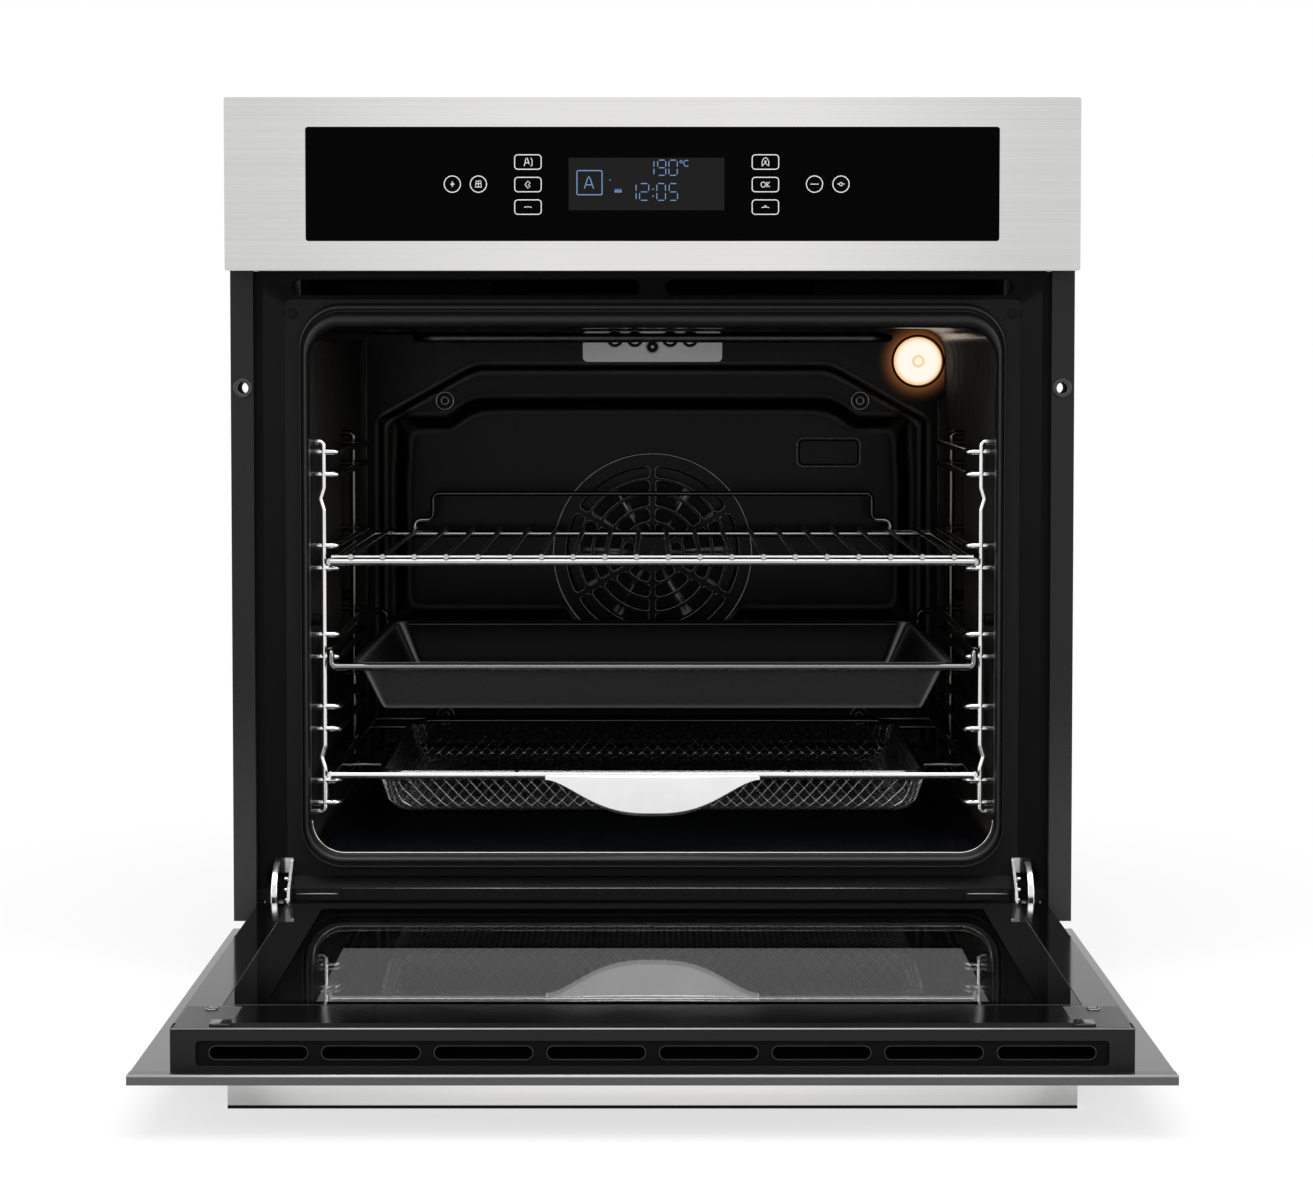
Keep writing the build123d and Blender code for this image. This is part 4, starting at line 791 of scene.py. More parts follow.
def carried(section, path, closed=False, flat=(0.0, 1.0, 0.0)):
    """A closed section of (across, along flat) carried along a path, square to it, all in millimetres."""
    path = np.asarray(path, float)
    section = np.asarray(section, float)
    ahead = np.roll(path, -1, 0) - np.roll(path, 1, 0) if closed else np.gradient(path, axis=0)
    across = np.cross(ahead, flat)
    across /= np.linalg.norm(across, axis=1, keepdims=True)
    up = np.cross(across, ahead)
    up /= np.linalg.norm(up, axis=1, keepdims=True)
    points = path[:, None] + section[None, :, :1] * across[:, None] + section[None, :, 1:] * up[:, None]
    faces = grid_faces(len(path), len(section), closed, True).tolist()
    if not closed:
        last = (len(path) - 1) * len(section)
        faces += [list(range(len(section))), [last + corner for corner in range(len(section))]]
    return points.reshape(-1, 3) * MM, faces


def upright(ring, y):
    """A flat ring of x and z, stood up at a depth y."""
    return np.insert(np.asarray(ring, float), 1, y, axis=1)


print("mesh helpers ready")

# %% [markdown]
# ## Printed keys
# The touch keys are white lines printed on the control glass. Each line is a path in the plane of the glass
# that carries a flat rectangular section 0.1 mm high, so the print can be seen and exported without an image.

# %% Lines on the control glass
PRINT_HEIGHT = 0.1
glass_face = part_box("control_pane")[0].y / MM


def ribbon(path, width, closed=False):
    """A rectangle carried along a path of x and z, standing on the glass."""
    half = width / 2
    section = [(-half, 0), (half, 0), (half, -PRINT_HEIGHT), (-half, -PRINT_HEIGHT)]
    return carried(section, upright(path, glass_face), closed)


def arc(x, z, radius, start, end, count=14, squeeze=1.0):
    """Points of an arc from one angle to another, in degrees, narrowed across by squeeze."""
    angle = np.radians(np.linspace(start, end, count))
    return np.stack([x + squeeze * radius * np.cos(angle), z + radius * np.sin(angle)], -1)


KEY_LINE = 0.62
ICON_LINE = 0.5
ROUND_KEY_RADIUS = 5.65
KEY_HALF = (9.2, 5.0)
KEY_CORNER = 2.2
ROUND_KEYS = {"plus": -139.0, "grid": -120.9, "minus": 112.5, "turn": 130.9}
ROUND_KEY_HEIGHT = 534.9
KEY_COLUMNS = {"left": -86.5, "right": 78.4}
KEY_HEIGHTS = [550.2, 534.6, 519.0]

keys = [ribbon(arc(x, ROUND_KEY_HEIGHT, ROUND_KEY_RADIUS, 0, 351, 40), KEY_LINE, True)
        for x in ROUND_KEYS.values()]
keys += [ribbon(rounded_ring(*KEY_HALF, KEY_CORNER, 6) + [x, z], KEY_LINE, True)
         for x in KEY_COLUMNS.values() for z in KEY_HEIGHTS]
print("key outlines:", len(keys))

# %% Marks inside the keys
def mark(x, z, *strokes):
    """Strokes given around a key's middle, moved to the key."""
    return [ribbon(np.asarray(stroke, float) + [x, z], ICON_LINE) for stroke in strokes]


left, right = KEY_COLUMNS["left"], KEY_COLUMNS["right"]
upper, middle, lower = KEY_HEIGHTS
marks = mark(ROUND_KEYS["plus"], ROUND_KEY_HEIGHT, [(-1.5, 0), (1.5, 0)], [(0, -1.9), (0, 1.9)],
             [(-0.8, -0.6), (0.8, 0.6)], [(-0.8, 0.6), (0.8, -0.6)])
marks += mark(ROUND_KEYS["grid"], ROUND_KEY_HEIGHT, [(-2.0, -1.2), (-1.6, 2.2), (1.6, 2.2), (2.0, -1.2)],
              [(-2.4, -2.0), (2.4, -2.0)], [(0, -2.0), (0, 2.2)], [(-1.8, 0.4), (1.8, 0.4)])
marks += mark(ROUND_KEYS["minus"], ROUND_KEY_HEIGHT, [(-2.9, 0), (2.9, 0)])
marks += mark(ROUND_KEYS["turn"], ROUND_KEY_HEIGHT, [(-2.6, 0.1), (-1.4, 0.1)], [(1.4, 0.1), (2.6, 0.1)],
              arc(0, 0, 1.1, 0, 350, 16))
marks += mark(left, upper, [(-2.6, -2.8), (-1.3, 2.6), (-0.5, 2.8), (1.0, -1.6)], [(-1.8, -0.6), (0.4, -0.6)],
              [(2.0, 2.9), (2.9, 1.4), (2.9, -2.2), (1.9, -2.9)])
marks += mark(left, middle, [(-2.0, 0), (0, 2.6), (1.6, 1.0), (0.2, -0.2), (1.6, -1.2), (0, -2.6), (-2.0, 0)])
marks += mark(left, lower, [(-2.6, -0.1), (-1.0, 0.1)], [(-1.2, 0.2), (1.2, 0.2)], [(1.0, 0.1), (2.6, -0.1)])
marks += mark(right, upper, [(-2.3, -2.8), (-2.4, 0), (-1.4, 2.2), (0, 3.0), (1.4, 2.2), (2.4, 0),
                             (2.3, -2.8)],
              [(-2.3, -2.8), (-0.3, -0.6), (2.3, -2.8)], arc(0, 0.3, 0.5, 0, 350, 10))
marks += mark(right, middle, arc(-1.5, 0, 1.8, 0, 350, 20, 0.85), [(1.0, 1.9), (1.0, -1.9)],
              [(3.0, 1.9), (1.2, 0), (3.0, -1.9)])
marks += mark(right, lower, [(-2.6, -0.4), (-1.0, 0)], [(-1.0, 0), (1.0, 0)], [(1.0, 0), (2.6, -0.4)],
              arc(0, 0.7, 0.4, 0, 350, 8))


def glowing_print(name, colour, strength):
    """Print that is bright by itself, with a little unevenness."""
    finish = Finish(name)
    cloud = finish.noise(900.0, 2.0)
    finish.wear(Emission_Strength=strength)
    dim = tuple(0.8 * part for part in colour[:3]) + (1.0,)
    return finish.wear(Base_Color=finish.mix(cloud, dim, colour), Roughness=0.5 + 0.1 * cloud,
                       Emission_Color=finish.mix(cloud, dim, colour))


finishes["key_print"] = glowing_print("key_print", grey(0.62), 0.35)
make_piece("key_prints", *joined(keys + marks), "key_print", "oven", smooth=False)
print("strokes inside the keys:", len(marks))

# %% [markdown]
# ## Display figures
# The display shows a temperature and a time in seven-bar figures, and a boxed letter for the automatic mode.
# A figure is a choice of bars from the same seven, so one table of bars and one of figures draw them all.

# %% Seven-bar figures
BARS = {"a": ((0.15, 1), (0.85, 1)), "b": ((1, 0.93), (1, 0.57)), "c": ((1, 0.43), (1, 0.07)),
        "d": ((0.15, 0), (0.85, 0)), "e": ((0, 0.43), (0, 0.07)), "f": ((0, 0.93), (0, 0.57)),
        "g": ((0.15, 0.5), (0.85, 0.5))}
FIGURES = {"0": "abcdef", "1": "bc", "2": "abged", "5": "afgcd", "9": "abcdfg"}
BAR_LINE = 0.66
BOX_LINE = 0.72
SIGN_LINE = 0.7
TEMPERATURE = {"z": 541.0, "height": 10.5,
               "figures": [("1", -4.6, 5.6), ("9", 3.6, 5.6), ("0", 11.4, 5.8)]}
TIME = {"z": 523.7, "height": 11.6,
        "figures": [("1", -17.4, 6.0), ("2", -9.0, 6.4), ("0", 3.0, 6.0), ("5", 11.6, 5.8)]}


def figure_row(z, height, figures):
    """The bars of a row of figures, each with its left edge and its width, that stand at a height z."""
    return [ribbon(np.array(BARS[bar]) * [width, height] + [x, z], BAR_LINE)
            for sign, x, width in figures for bar in FIGURES[sign]]


display = figure_row(**TEMPERATURE)
display += [ribbon(arc(19.9, 550.4, 0.9, 0, 350, 12), 0.5),
            ribbon(arc(23.6, 549.3, 2.1, 50, 310, 14, 0.9), 0.6)]
display += figure_row(**TIME)
display += [ribbon([(0.0, z), (0.9, z)], 0.9) for z in (531.4, 526.5)]
display += [ribbon(rounded_ring(8.7, 8.35, 0.8, 4) + [-43.75, 535.9], BOX_LINE, True),
            ribbon([(-47.3, 531.8), (-45.0, 539.0), (-44.2, 540.2), (-43.4, 539.0), (-41.0, 531.8)],
                   BOX_LINE),
            ribbon([(-46.3, 534.4), (-42.0, 534.4)], BOX_LINE),
            ribbon([(-29.8, 537.7), (-29.0, 537.7)], 0.8)]
display += [ribbon([(x, 529.8), (x + 0.7, 531.6), (x + 1.4, 529.8)], SIGN_LINE)
            for x in (-26.3, -24.6, -22.9)]
display += [ribbon([(-26.4, 529.5), (-21.4, 529.5)], SIGN_LINE)]
finishes["display_light"] = glowing_print("display_light", (0.1, 0.17, 0.32, 1.0), 0.5)
make_piece("display_figures", *joined(display), "display_light", "oven", smooth=False)
print("bars and strokes on the display:", len(display))

# %% [markdown]
# ## Door seal
# The rubber seal round the mouth has a thick round bead towards the oven's inside and a thin lip outside it.
# The mouth and the seal's outer edge are two rounded rectangles with matching points, so the seal is a ruled
# surface between them whose height is the greater of two round humps.

# %% Door seal
def box_mm(node):
    """The lowest and the highest corner of a solid, in millimetres."""
    return [np.array(corner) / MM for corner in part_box(node)]


seal_low, seal_high = box_mm("door_gasket")
MOUTH = {"half": 243.0, "bottom": 61.0, "top": 435.5, "corner": 23.0}
MOUTH_MIDDLE = (MOUTH["top"] + MOUTH["bottom"]) / 2
MOUTH_RISE = (MOUTH["top"] - MOUTH["bottom"]) / 2
SEAL_LIP = (0.17, 0.17, 0.6)
SEAL_BEAD = (0.66, 0.34, 1.0)


def hump(across, middle, half, height):
    """Half an ellipse of that height, a half width to each side of its middle, and 0 elsewhere."""
    return height * np.sqrt(np.clip(1 - ((across - middle) / half) ** 2, 0, 1))


def door_seal(count=26):
    """Height of the seal from its outer edge to the mouth: the greater of a lip and a bead."""
    inner = rounded_ring(MOUTH["half"], MOUTH_RISE, MOUTH["corner"], 16) + [0, MOUTH_MIDDLE]
    corner = MOUTH["corner"] + seal_high[0] - MOUTH["half"]
    outer = rounded_ring(seal_high[0], (seal_high[2] - seal_low[2]) / 2, corner, 16)
    outer = outer + [0, (seal_high[2] + seal_low[2]) / 2]
    across = np.linspace(0, 1, count)
    height = (seal_high[1] - seal_low[1]) * np.maximum(hump(across, *SEAL_LIP), hump(across, *SEAL_BEAD))
    flat = outer[None] + across[:, None, None] * (inner - outer)[None]
    y = seal_high[1] - height[:, None] + np.zeros(flat.shape[:2])
    points = np.stack([flat[..., 0], y, flat[..., 1]], -1) * MM
    return points, grid_faces(count, len(inner), True, True)


make_piece("door_seal", *door_seal(), "gasket_rubber", "oven", stands_for=["door_gasket"])
print("door seal done")

# %% [markdown]
# ## Deep pan
# A pan is pressed from one sheet: a flat rim, walls that lean in and a flat bottom, with rounded corners that
# get tighter downwards. Rings of a rounded rectangle, each set further in than the last, carry the height,
# which falls evenly between the rim and the bottom, with a small round at each end of the fall. The bends and
# the corners get a painted highlight, whose share each point's attribute tells the enamel, and the rim's edge
# is a thin bead, painted pale as a highlight line.

# %% Deep pan
pan_low, pan_high = box_mm("deep_pan")
PAN = {"rim": 5.0, "wall": 17.0, "sheet": 1.2, "bead": 0.9, "bottom": 60.0, "end_share": 0.8,
       "corner": 13.0, "tighten": 0.3, "least_corner": 6.0, "per_corner": 14}
# How much painted highlight the corners get: front right, rear right, rear left, front left
CORNER_LIGHT = (0.35, 1.0, 1.0, 0.35)


def rounded_ramp(share, soft):
    """Up from 0 to 1 as share goes from 0 to 1: a straight rise, rounded over a length soft at both ends."""
    return (1 + np.sqrt(share ** 2 + soft ** 2) - np.sqrt((share - 1) ** 2 + soft ** 2)) / 2


def pan_outline(inset):
    """Rounded rectangle of the pan, drawn in by an inset at its sides and by a share of it at its ends."""
    half_x = (pan_high[0] - pan_low[0]) / 2 - inset
    half_y = (pan_high[1] - pan_low[1]) / 2 - PAN["end_share"] * inset
    corner = max(PAN["corner"] - PAN["tighten"] * inset, PAN["least_corner"])
    return rounded_ring(half_x, half_y, corner, PAN["per_corner"]) + [0.0, (pan_high[1] + pan_low[1]) / 2]


def pan_highlight(inset):
    """Bell curves of the inset at both bends, and of the place along each rounded corner on the wall: the
    share of painted highlight.
    """
    bends = sum(np.exp(-(inset - place) ** 2) for place in (PAN["rim"], PAN["rim"] + PAN["wall"]))
    place = np.tile(np.linspace(-1, 1, PAN["per_corner"]), 4)
    weight = np.repeat(CORNER_LIGHT, PAN["per_corner"])
    wall = (inset > PAN["rim"]) & (inset < PAN["rim"] + PAN["wall"])
    return np.clip(0.15 * bends[:, None] + wall[:, None] * weight * np.exp(-(place / 0.25) ** 2), 0, 1)


def pan_surface(rings=34):
    """Height falls by a rounded ramp of the inset, over the wall's run. The last ring lies on the bottom."""
    inset = np.append(np.linspace(0, PAN["rim"] + PAN["wall"], rings), PAN["bottom"])
    fall = rounded_ramp((inset - PAN["rim"]) / PAN["wall"], 0.1)
    loops = np.stack([pan_outline(step) for step in inset])
    z = pan_high[2] - fall * (pan_high[2] - pan_low[2] - PAN["sheet"])
    z = z[:, None] + np.zeros(loops.shape[:2])
    points = np.stack([loops[..., 0], loops[..., 1], z], -1)
    faces = grid_faces(len(inset), loops.shape[1], False, True).tolist()
    last = (len(inset) - 1) * loops.shape[1]
    faces.append([last + corner for corner in range(loops.shape[1])])
    return points * MM, faces, pan_highlight(inset).ravel()


def thicken(piece, thickness):
    """Gives a sheet its thickness, behind its outer face."""
    sheet = piece.modifiers.new("sheet", "SOLIDIFY")
    sheet.thickness = thickness * MM


def write_painted_highlight(piece, values):
    """Writes how much painted highlight each point gets, for the enamel to read."""
    piece.data.attributes.new("painted_highlight", "FLOAT", "POINT").data.foreach_set("value", values)


pan_points, pan_faces, pan_highlights = pan_surface()
pan = make_piece("pan_pressing", pan_points, pan_faces, "pan_enamel", "pan", stands_for=["deep_pan"])
write_painted_highlight(pan, pan_highlights)
thicken(pan, PAN["sheet"])
print("points of the pan:", len(pan_highlights))

# %% Rim of the pan
def oval(wide, deep, count=10):
    """Points of an ellipse of that width and depth, for a section."""
    angle = np.linspace(0, 2 * np.pi, count, endpoint=False)
    return np.stack([wide / 2 * np.cos(angle), deep / 2 * np.sin(angle)], -1)


def spaced(ring, count):
    """A closed ring of points, walked again in that many equal steps."""
    loop = np.vstack([ring, ring[:1]])
    run = np.concatenate([[0], np.cumsum(np.linalg.norm(np.diff(loop, axis=0), axis=1))])
    stops = np.linspace(0, run[-1], count, endpoint=False)
    return np.stack([np.interp(stops, run, loop[:, 0]), np.interp(stops, run, loop[:, 1])], -1)


def lying(ring, z):
    """A flat ring of x and y, laid at a height z."""
    return np.insert(np.asarray(ring, float), 2, z, axis=1)


rim_path = lying(spaced(pan_outline(PAN["bead"]), 400), pan_high[2] - PAN["bead"])
rim_bead = carried(oval(PAN["bead"], PAN["bead"], 8), rim_path, True, (0.0, 0.0, 1.0))
make_piece("pan_rim", *rim_bead, "pan_rim", "pan")
print("points of the rim:", len(rim_path))

# %% [markdown]
# ## Net basket
# The basket is one sheet of expanded metal, bent up at the sides. A flat lattice of diamonds is laid out
# first. What lies past the floor's edge is carried round a bend and then up a leaning wall, and at a corner
# the two overshoots share a quarter turn, so that the lattice closes round it. The turn is squarer than
# a circle, as a pressed tray's corner is. A Wireframe modifier turns each edge into a strand.

# %% Net basket
net_low, net_high = box_mm("basket_net")
NET = {"wide": 8.8, "tall": 10.5, "bend": 18.0, "lean": math.radians(74), "strand": 0.85, "square": 0.6}


def kept(points, faces):
    """Only the points that the faces use, with the faces renumbered, and which points those are."""
    used, renumbered = np.unique(faces, return_inverse=True)
    return np.asarray(points).reshape(-1, 3)[used], renumbered.reshape(np.shape(faces)), used


def net_sheet():
    """Overshoot rises by the bend's arc and then straight. In a corner it turns by the ratio of its two
    parts, and goes out by a power below 1 of the turn's cosine and sine."""
    half = (net_high - net_low)[:2] / 2 - NET["strand"] / 2
    height = net_high[2] - net_low[2]
    wall = (height - NET["bend"] * (1 - math.cos(NET["lean"]))) / math.sin(NET["lean"])
    reach = NET["bend"] * NET["lean"] + wall
    floor_half = half - NET["bend"] * math.sin(NET["lean"]) - wall * math.cos(NET["lean"])
    cells = np.round(2 * (floor_half + reach) / [NET["wide"], NET["tall"]]).astype(int)
    steps = 2 * cells
    u = np.linspace(-1, 1, steps[0] + 1)[:, None] * (floor_half[0] + reach) + np.zeros((1, steps[1] + 1))
    v = np.linspace(-1, 1, steps[1] + 1)[None, :] * (floor_half[1] + reach) + np.zeros((steps[0] + 1, 1))
    over_u = np.clip(np.abs(u) - floor_half[0], 0, None)
    over_v = np.clip(np.abs(v) - floor_half[1], 0, None)
    over = np.maximum(over_u, over_v)
    ratio = np.minimum(over_u, over_v) / np.maximum(over, 1e-9) * np.pi / 4
    turn = np.where(over_u >= over_v, ratio, np.pi / 2 - ratio)
    bent = np.minimum(over / NET["bend"], NET["lean"])
    straight = over - NET["bend"] * bent
    out = NET["bend"] * np.sin(bent) + straight * math.cos(NET["lean"])
    rise = NET["bend"] * (1 - np.cos(bent)) + straight * math.sin(NET["lean"])
    out_x = out * np.abs(np.cos(turn)) ** NET["square"]
    out_y = out * np.abs(np.sin(turn)) ** NET["square"]
    x = np.sign(u) * (np.minimum(np.abs(u), floor_half[0]) + out_x)
    y = np.sign(v) * (np.minimum(np.abs(v), floor_half[1]) + out_y) + (net_low[1] + net_high[1]) / 2
    points = np.stack([x, y, net_low[2] + NET["strand"] / 2 + rise], -1) * MM
    i, j = np.meshgrid(np.arange(1, steps[0]), np.arange(1, steps[1]), indexing="ij")
    odd = (i + j) % 2 == 1
    i, j = i[odd], j[odd]
    row = steps[1] + 1
    corners = [(i - 1) * row + j, i * row + j - 1, (i + 1) * row + j, i * row + j + 1]
    return kept(points, np.stack(corners, -1))[:2]


net_points, net_faces = net_sheet()
net = make_piece("diamond_net", net_points, net_faces, "net_steel", "basket", smooth=False,
                 stands_for=["basket_net"])
strands = net.modifiers.new("strands", "WIREFRAME")
strands.thickness = NET["strand"] * MM
strands.use_even_offset = False
print("diamonds in the net:", len(net_faces))

# %% [markdown]
# ## Fan cover
# The cover of the fan is one pressing: a ledge that stands off the back wall, a panel that stands off the
# ledge, and a round dome for the fan. Each outline is given by how far a point lies inside it. That distance
# goes through a rounded ramp, so every step has a straight wall between two soft edges, and the edges are
# painted paler in the enamel: a painted highlight.

# %% Fan cover
COVER = {"wall": 432.0, "dome": 85.0, "hole": 81.0, "margin": 4.0, "edge": 0.1, "full_crease": 0.3}
LEDGE = {"half": 232.0, "bottom": 82.0, "top": 408.5, "shoulder": 150.0, "slope": (46.0, 82.0),
         "step": 8.0, "run": 8.0, "soft": 2.0}
PANEL = {"half": 202.0, "bottom": 206.0, "top": 352.0, "peak_half": 148.0, "peak": 367.5,
         "slope": (0.632, 0.775), "step": 14.0, "run": 14.0, "soft": 4.0}


def least(distances, soft):
    """The smallest of several distances, rounded where two of them meet."""
    return -soft * np.log(sum(np.exp(np.clip(-part / soft, -80, 80)) for part in distances))


def slanted(across, up, slope):
    """Distance inside a slanted edge: the two distances to its end, each times its share of the slope."""
    return slope[0] * across + slope[1] * up


def cover_surface(step=1.5):
    """Depth is the wall's, less a ramp of the distance inside the ledge and one of that inside the panel."""
    width = np.arange(-LEDGE["half"] - COVER["margin"], LEDGE["half"] + COVER["margin"] + 0.1, step)
    rise = np.arange(LEDGE["bottom"] - COVER["margin"], LEDGE["top"] + COVER["margin"] + 0.1, step)
    x, z = np.meshgrid(width, rise, indexing="ij")
    side = np.abs(x)
    shoulder = slanted(LEDGE["shoulder"] - side, LEDGE["top"] - z, LEDGE["slope"])
    shoulder = shoulder / math.hypot(*LEDGE["slope"])
    ledge = least([LEDGE["half"] - side, z - LEDGE["bottom"], LEDGE["top"] - z, shoulder], LEDGE["soft"])
    sides = [PANEL["half"] - side, z - PANEL["bottom"]]
    box = least(sides + [PANEL["top"] - z], PANEL["soft"])
    roof = slanted(PANEL["peak_half"] - side, PANEL["peak"] - z, PANEL["slope"])
    peak = least(sides + [roof, PANEL["peak"] - z], PANEL["soft"])
    from_fan = np.hypot(x, z - FAN_HEIGHT)
    panel = -least([-box, -peak, from_fan - COVER["dome"]], LEDGE["soft"])
    y = COVER["wall"] - LEDGE["step"] * rounded_ramp(ledge / LEDGE["run"], COVER["edge"])
    y = y - PANEL["step"] * rounded_ramp(panel / PANEL["run"] + 1, COVER["edge"])
    bend = sum(np.gradient(np.gradient(y, step, axis=axis), step, axis=axis) for axis in (0, 1))
    painted_highlight = np.clip(np.abs(bend) / COVER["full_crease"], 0, 1) ** 2
    inside = ((ledge > -COVER["margin"]) & (from_fan > COVER["hole"])).ravel()
    faces = grid_faces(*x.shape)
    points, faces, used = kept(np.stack([x, y, z], -1) * MM, faces[inside[faces].all(1)])
    return points, faces, painted_highlight.ravel()[used]


cover_points, cover_faces, cover_highlight = cover_surface()
cover = make_piece("cover_pressing", cover_points, cover_faces, "cover_enamel", "oven",
                   stands_for=["fan_cover"])
write_painted_highlight(cover, cover_highlight)
print("faces of the fan cover:", len(cover_faces))

# %% [markdown]
# ## Fan grille
# Five rows of slots are punched in the dome, in six sectors with a spoke between them. The sheet is a polar
# grid whose rows end exactly at the slots, and the cells of the slots are left out. A slot's lip is a rounded
# rectangle that is bent round the fan: its length becomes an angle and its width a radius, and its pale steel
# is a painted highlight, as are the two rings round the dome. Beside the dome, a plain field is pressed into
# the cover, and shows as a dark groove, painted shade, with a pale edge, a painted highlight.

# %% Fan grille
SLOT_ROWS = [(72.6, 62.6), (61.0, 51.0), (49.0, 39.2), (37.4, 26.6), (24.8, 15.6)]
GRILLE = {"face": 410.2, "edge": 82.0, "hub": 2.0, "spoke": 4.2, "sheet": 1.2, "corner": 3.0, "lip": 0.8,
          "rings": (82.8, 79.2), "ring": 1.5}
sectors = np.radians(30 + 60 * np.arange(6))


def circle(x, z, radius, count=48):
    """Points of a circle round a middle."""
    return oval(2 * radius, 2 * radius, count) + [x, z]


def bead(ring, y, wide, deep, count=8):
    """An oval section carried round a ring that stands at a depth y."""
    return carried(oval(wide, deep, count), upright(ring, y), True)


def grille_sheet(per_sector=14):
    """Radius goes with the row; the angle goes evenly from one spoke's edge to the next one's."""
    radii = np.array([GRILLE["edge"]] + [edge for row in SLOT_ROWS for edge in row] + [GRILLE["hub"]])
    half = np.arcsin(np.minimum(GRILLE["spoke"] / 2 / radii, 0.4))[:, None, None]
    share = np.linspace(0, 1, per_sector)[None, None, :]
    angle = (sectors[None, :, None] + half + share * (np.pi / 3 - 2 * half)).reshape(len(radii), -1)
    x = radii[:, None] * np.cos(angle)
    z = FAN_HEIGHT + radii[:, None] * np.sin(angle)
    row, column = np.meshgrid(np.arange(len(radii) - 1), np.arange(angle.shape[1]), indexing="ij")
    sheet_cell = (row % 2 == 0) | (column % per_sector == per_sector - 1)
    faces = grid_faces(*angle.shape, False, True)[sheet_cell.ravel()]
    return np.stack([x, np.full_like(x, GRILLE["face"]), z], -1) * MM, faces


def slot_lip(row, sector):
    """A bead round one slot: along the rounded rectangle, length over radius is the angle."""
    middle = (row[0] + row[1]) / 2
    half_length = middle * np.pi / 6 - GRILLE["spoke"] / 2
    ring = spaced(rounded_ring(half_length, (row[0] - row[1]) / 2, GRILLE["corner"], 6), 64)
    angle = sector + np.pi / 6 + ring[:, 0] / middle
    radius = middle + ring[:, 1]
    around = np.stack([radius * np.cos(angle), FAN_HEIGHT + radius * np.sin(angle)], -1)
    return bead(around, GRILLE["face"], GRILLE["lip"], GRILLE["lip"])


grille = make_piece("grille_sheet", *grille_sheet(), "cover_enamel", "oven", smooth=False)
thicken(grille, GRILLE["sheet"])
# Painted highlights: pale beads round the slots and two pale rings round the dome
lips = [slot_lip(row, sector) for row in SLOT_ROWS for sector in sectors]
lips += [bead(circle(0, FAN_HEIGHT, radius, 120), GRILLE["face"], GRILLE["ring"], GRILLE["ring"], 12)
         for radius in GRILLE["rings"]]
make_piece("grille_lips", *joined(lips), "lip_steel", "oven")
print("slots in the grille:", len(SLOT_ROWS) * len(sectors))

# %% Field beside the grille
FIELD_MIDDLE = (147.0, 334.0)
FIELD_FACE = 410.1
# Painted shade: the field's groove is a black bead
groove = bead(rounded_ring(24.5, 10.0, 4.0, 8) + FIELD_MIDDLE, FIELD_FACE, 1.3, 0.6)
make_piece("field_groove", *groove, "shade_black", "oven")
# Painted highlight: a pale bead along the field's edge
edge = bead(rounded_ring(26.3, 11.8, 5.0, 8) + FIELD_MIDDLE, FIELD_FACE, 0.5, 0.5, 6)
make_piece("field_edge", *edge, "lip_steel", "oven")
print("faces of the field's groove and edge:", len(groove[1]) + len(edge[1]))

# %% [markdown]
# ## Lamp and grill ends
# The lamp sits in a dark collar, and a painted glow lights the enamel round it. The ends of the grill tubes
# pass through the steel plate in pressed collars, and the cover's screws have a flange and a socket. All of
# these are rings of a small section; the pale rings on the collars and the screws are painted highlights.

# %% Lamp, collars and screw heads
LAMP = {"x": 223.0, "z": 410.0, "radius": 20.0, "reach": 38.0, "wall": 431.7, "right": 245.6, "top": 436.6}
TERMINALS = (-31.5, -14.8, 14.8, 31.5)
TERMINAL_HEIGHT = 428.7
PLATE_SCREW_HEIGHT = 422.0
SIDES = (-1, 1)
COVER_SCREWS = [(side * 174.0, z) for side in SIDES for z in (377.0, 112.0)]


def ring_bead(x, y, z, radius, wide, deep):
    """An oval section carried round an upright circle."""
    return bead(circle(x, z, radius), y, wide, deep, 10)


def plate_rings(y, terminal, screw, deep):
    """Rings round the terminals and round the plate's screw, each with its radius and width."""
    rings = [ring_bead(x, y, TERMINAL_HEIGHT, *terminal, deep) for x in TERMINALS]
    return rings + [ring_bead(0.0, y, PLATE_SCREW_HEIGHT, *screw, deep)]


def lamp_halo(rings=10, count=72):
    """A flat ring on the back wall, held back where it would pass the side wall or the ceiling."""
    radius = np.linspace(LAMP["radius"], LAMP["reach"], rings)[:, None]
    angle = np.linspace(0, 2 * np.pi, count, endpoint=False)[None, :]
    x = np.minimum(LAMP["x"] + radius * np.cos(angle), LAMP["right"])
    z = np.minimum(LAMP["z"] + radius * np.sin(angle), LAMP["top"])
    return np.stack([x, np.full_like(x, LAMP["wall"]), z], -1) * MM, grid_faces(rings, count, False, True)


# Painted glow: a flat ring that shines on the back wall round the lamp
make_piece("lamp_halo", *lamp_halo(), "lamp_light", "oven", smooth=False)
make_piece("lamp_collar", *ring_bead(LAMP["x"], 428.0, LAMP["z"], 21.4, 2.0, 5.0), "screw_black", "oven")
dark_rings = plate_rings(430.3, (5.4, 2.2), (3.0, 3.4), 0.8)
make_piece("terminal_collars", *joined(dark_rings), "screw_black", "oven")
# Painted highlights: pale rings round the terminal collars and the plate's screw
pale_rings = plate_rings(430.2, (6.9, 0.7), (5.4, 0.7), 0.7)
make_piece("terminal_rings", *joined(pale_rings), "line_steel", "oven")
screw_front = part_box("cover_screws")[0].y / MM
# Painted highlights: pale rings on the cover's screws
heads = [ring_bead(x, screw_front, z, radius, 1.3, 0.8) for x, z in COVER_SCREWS for radius in (3.0, 7.2)]
make_piece("screw_rings", *joined(heads), "lip_steel", "oven")
print("rings on collars and screws:", len(dark_rings) + len(pale_rings) + len(heads))

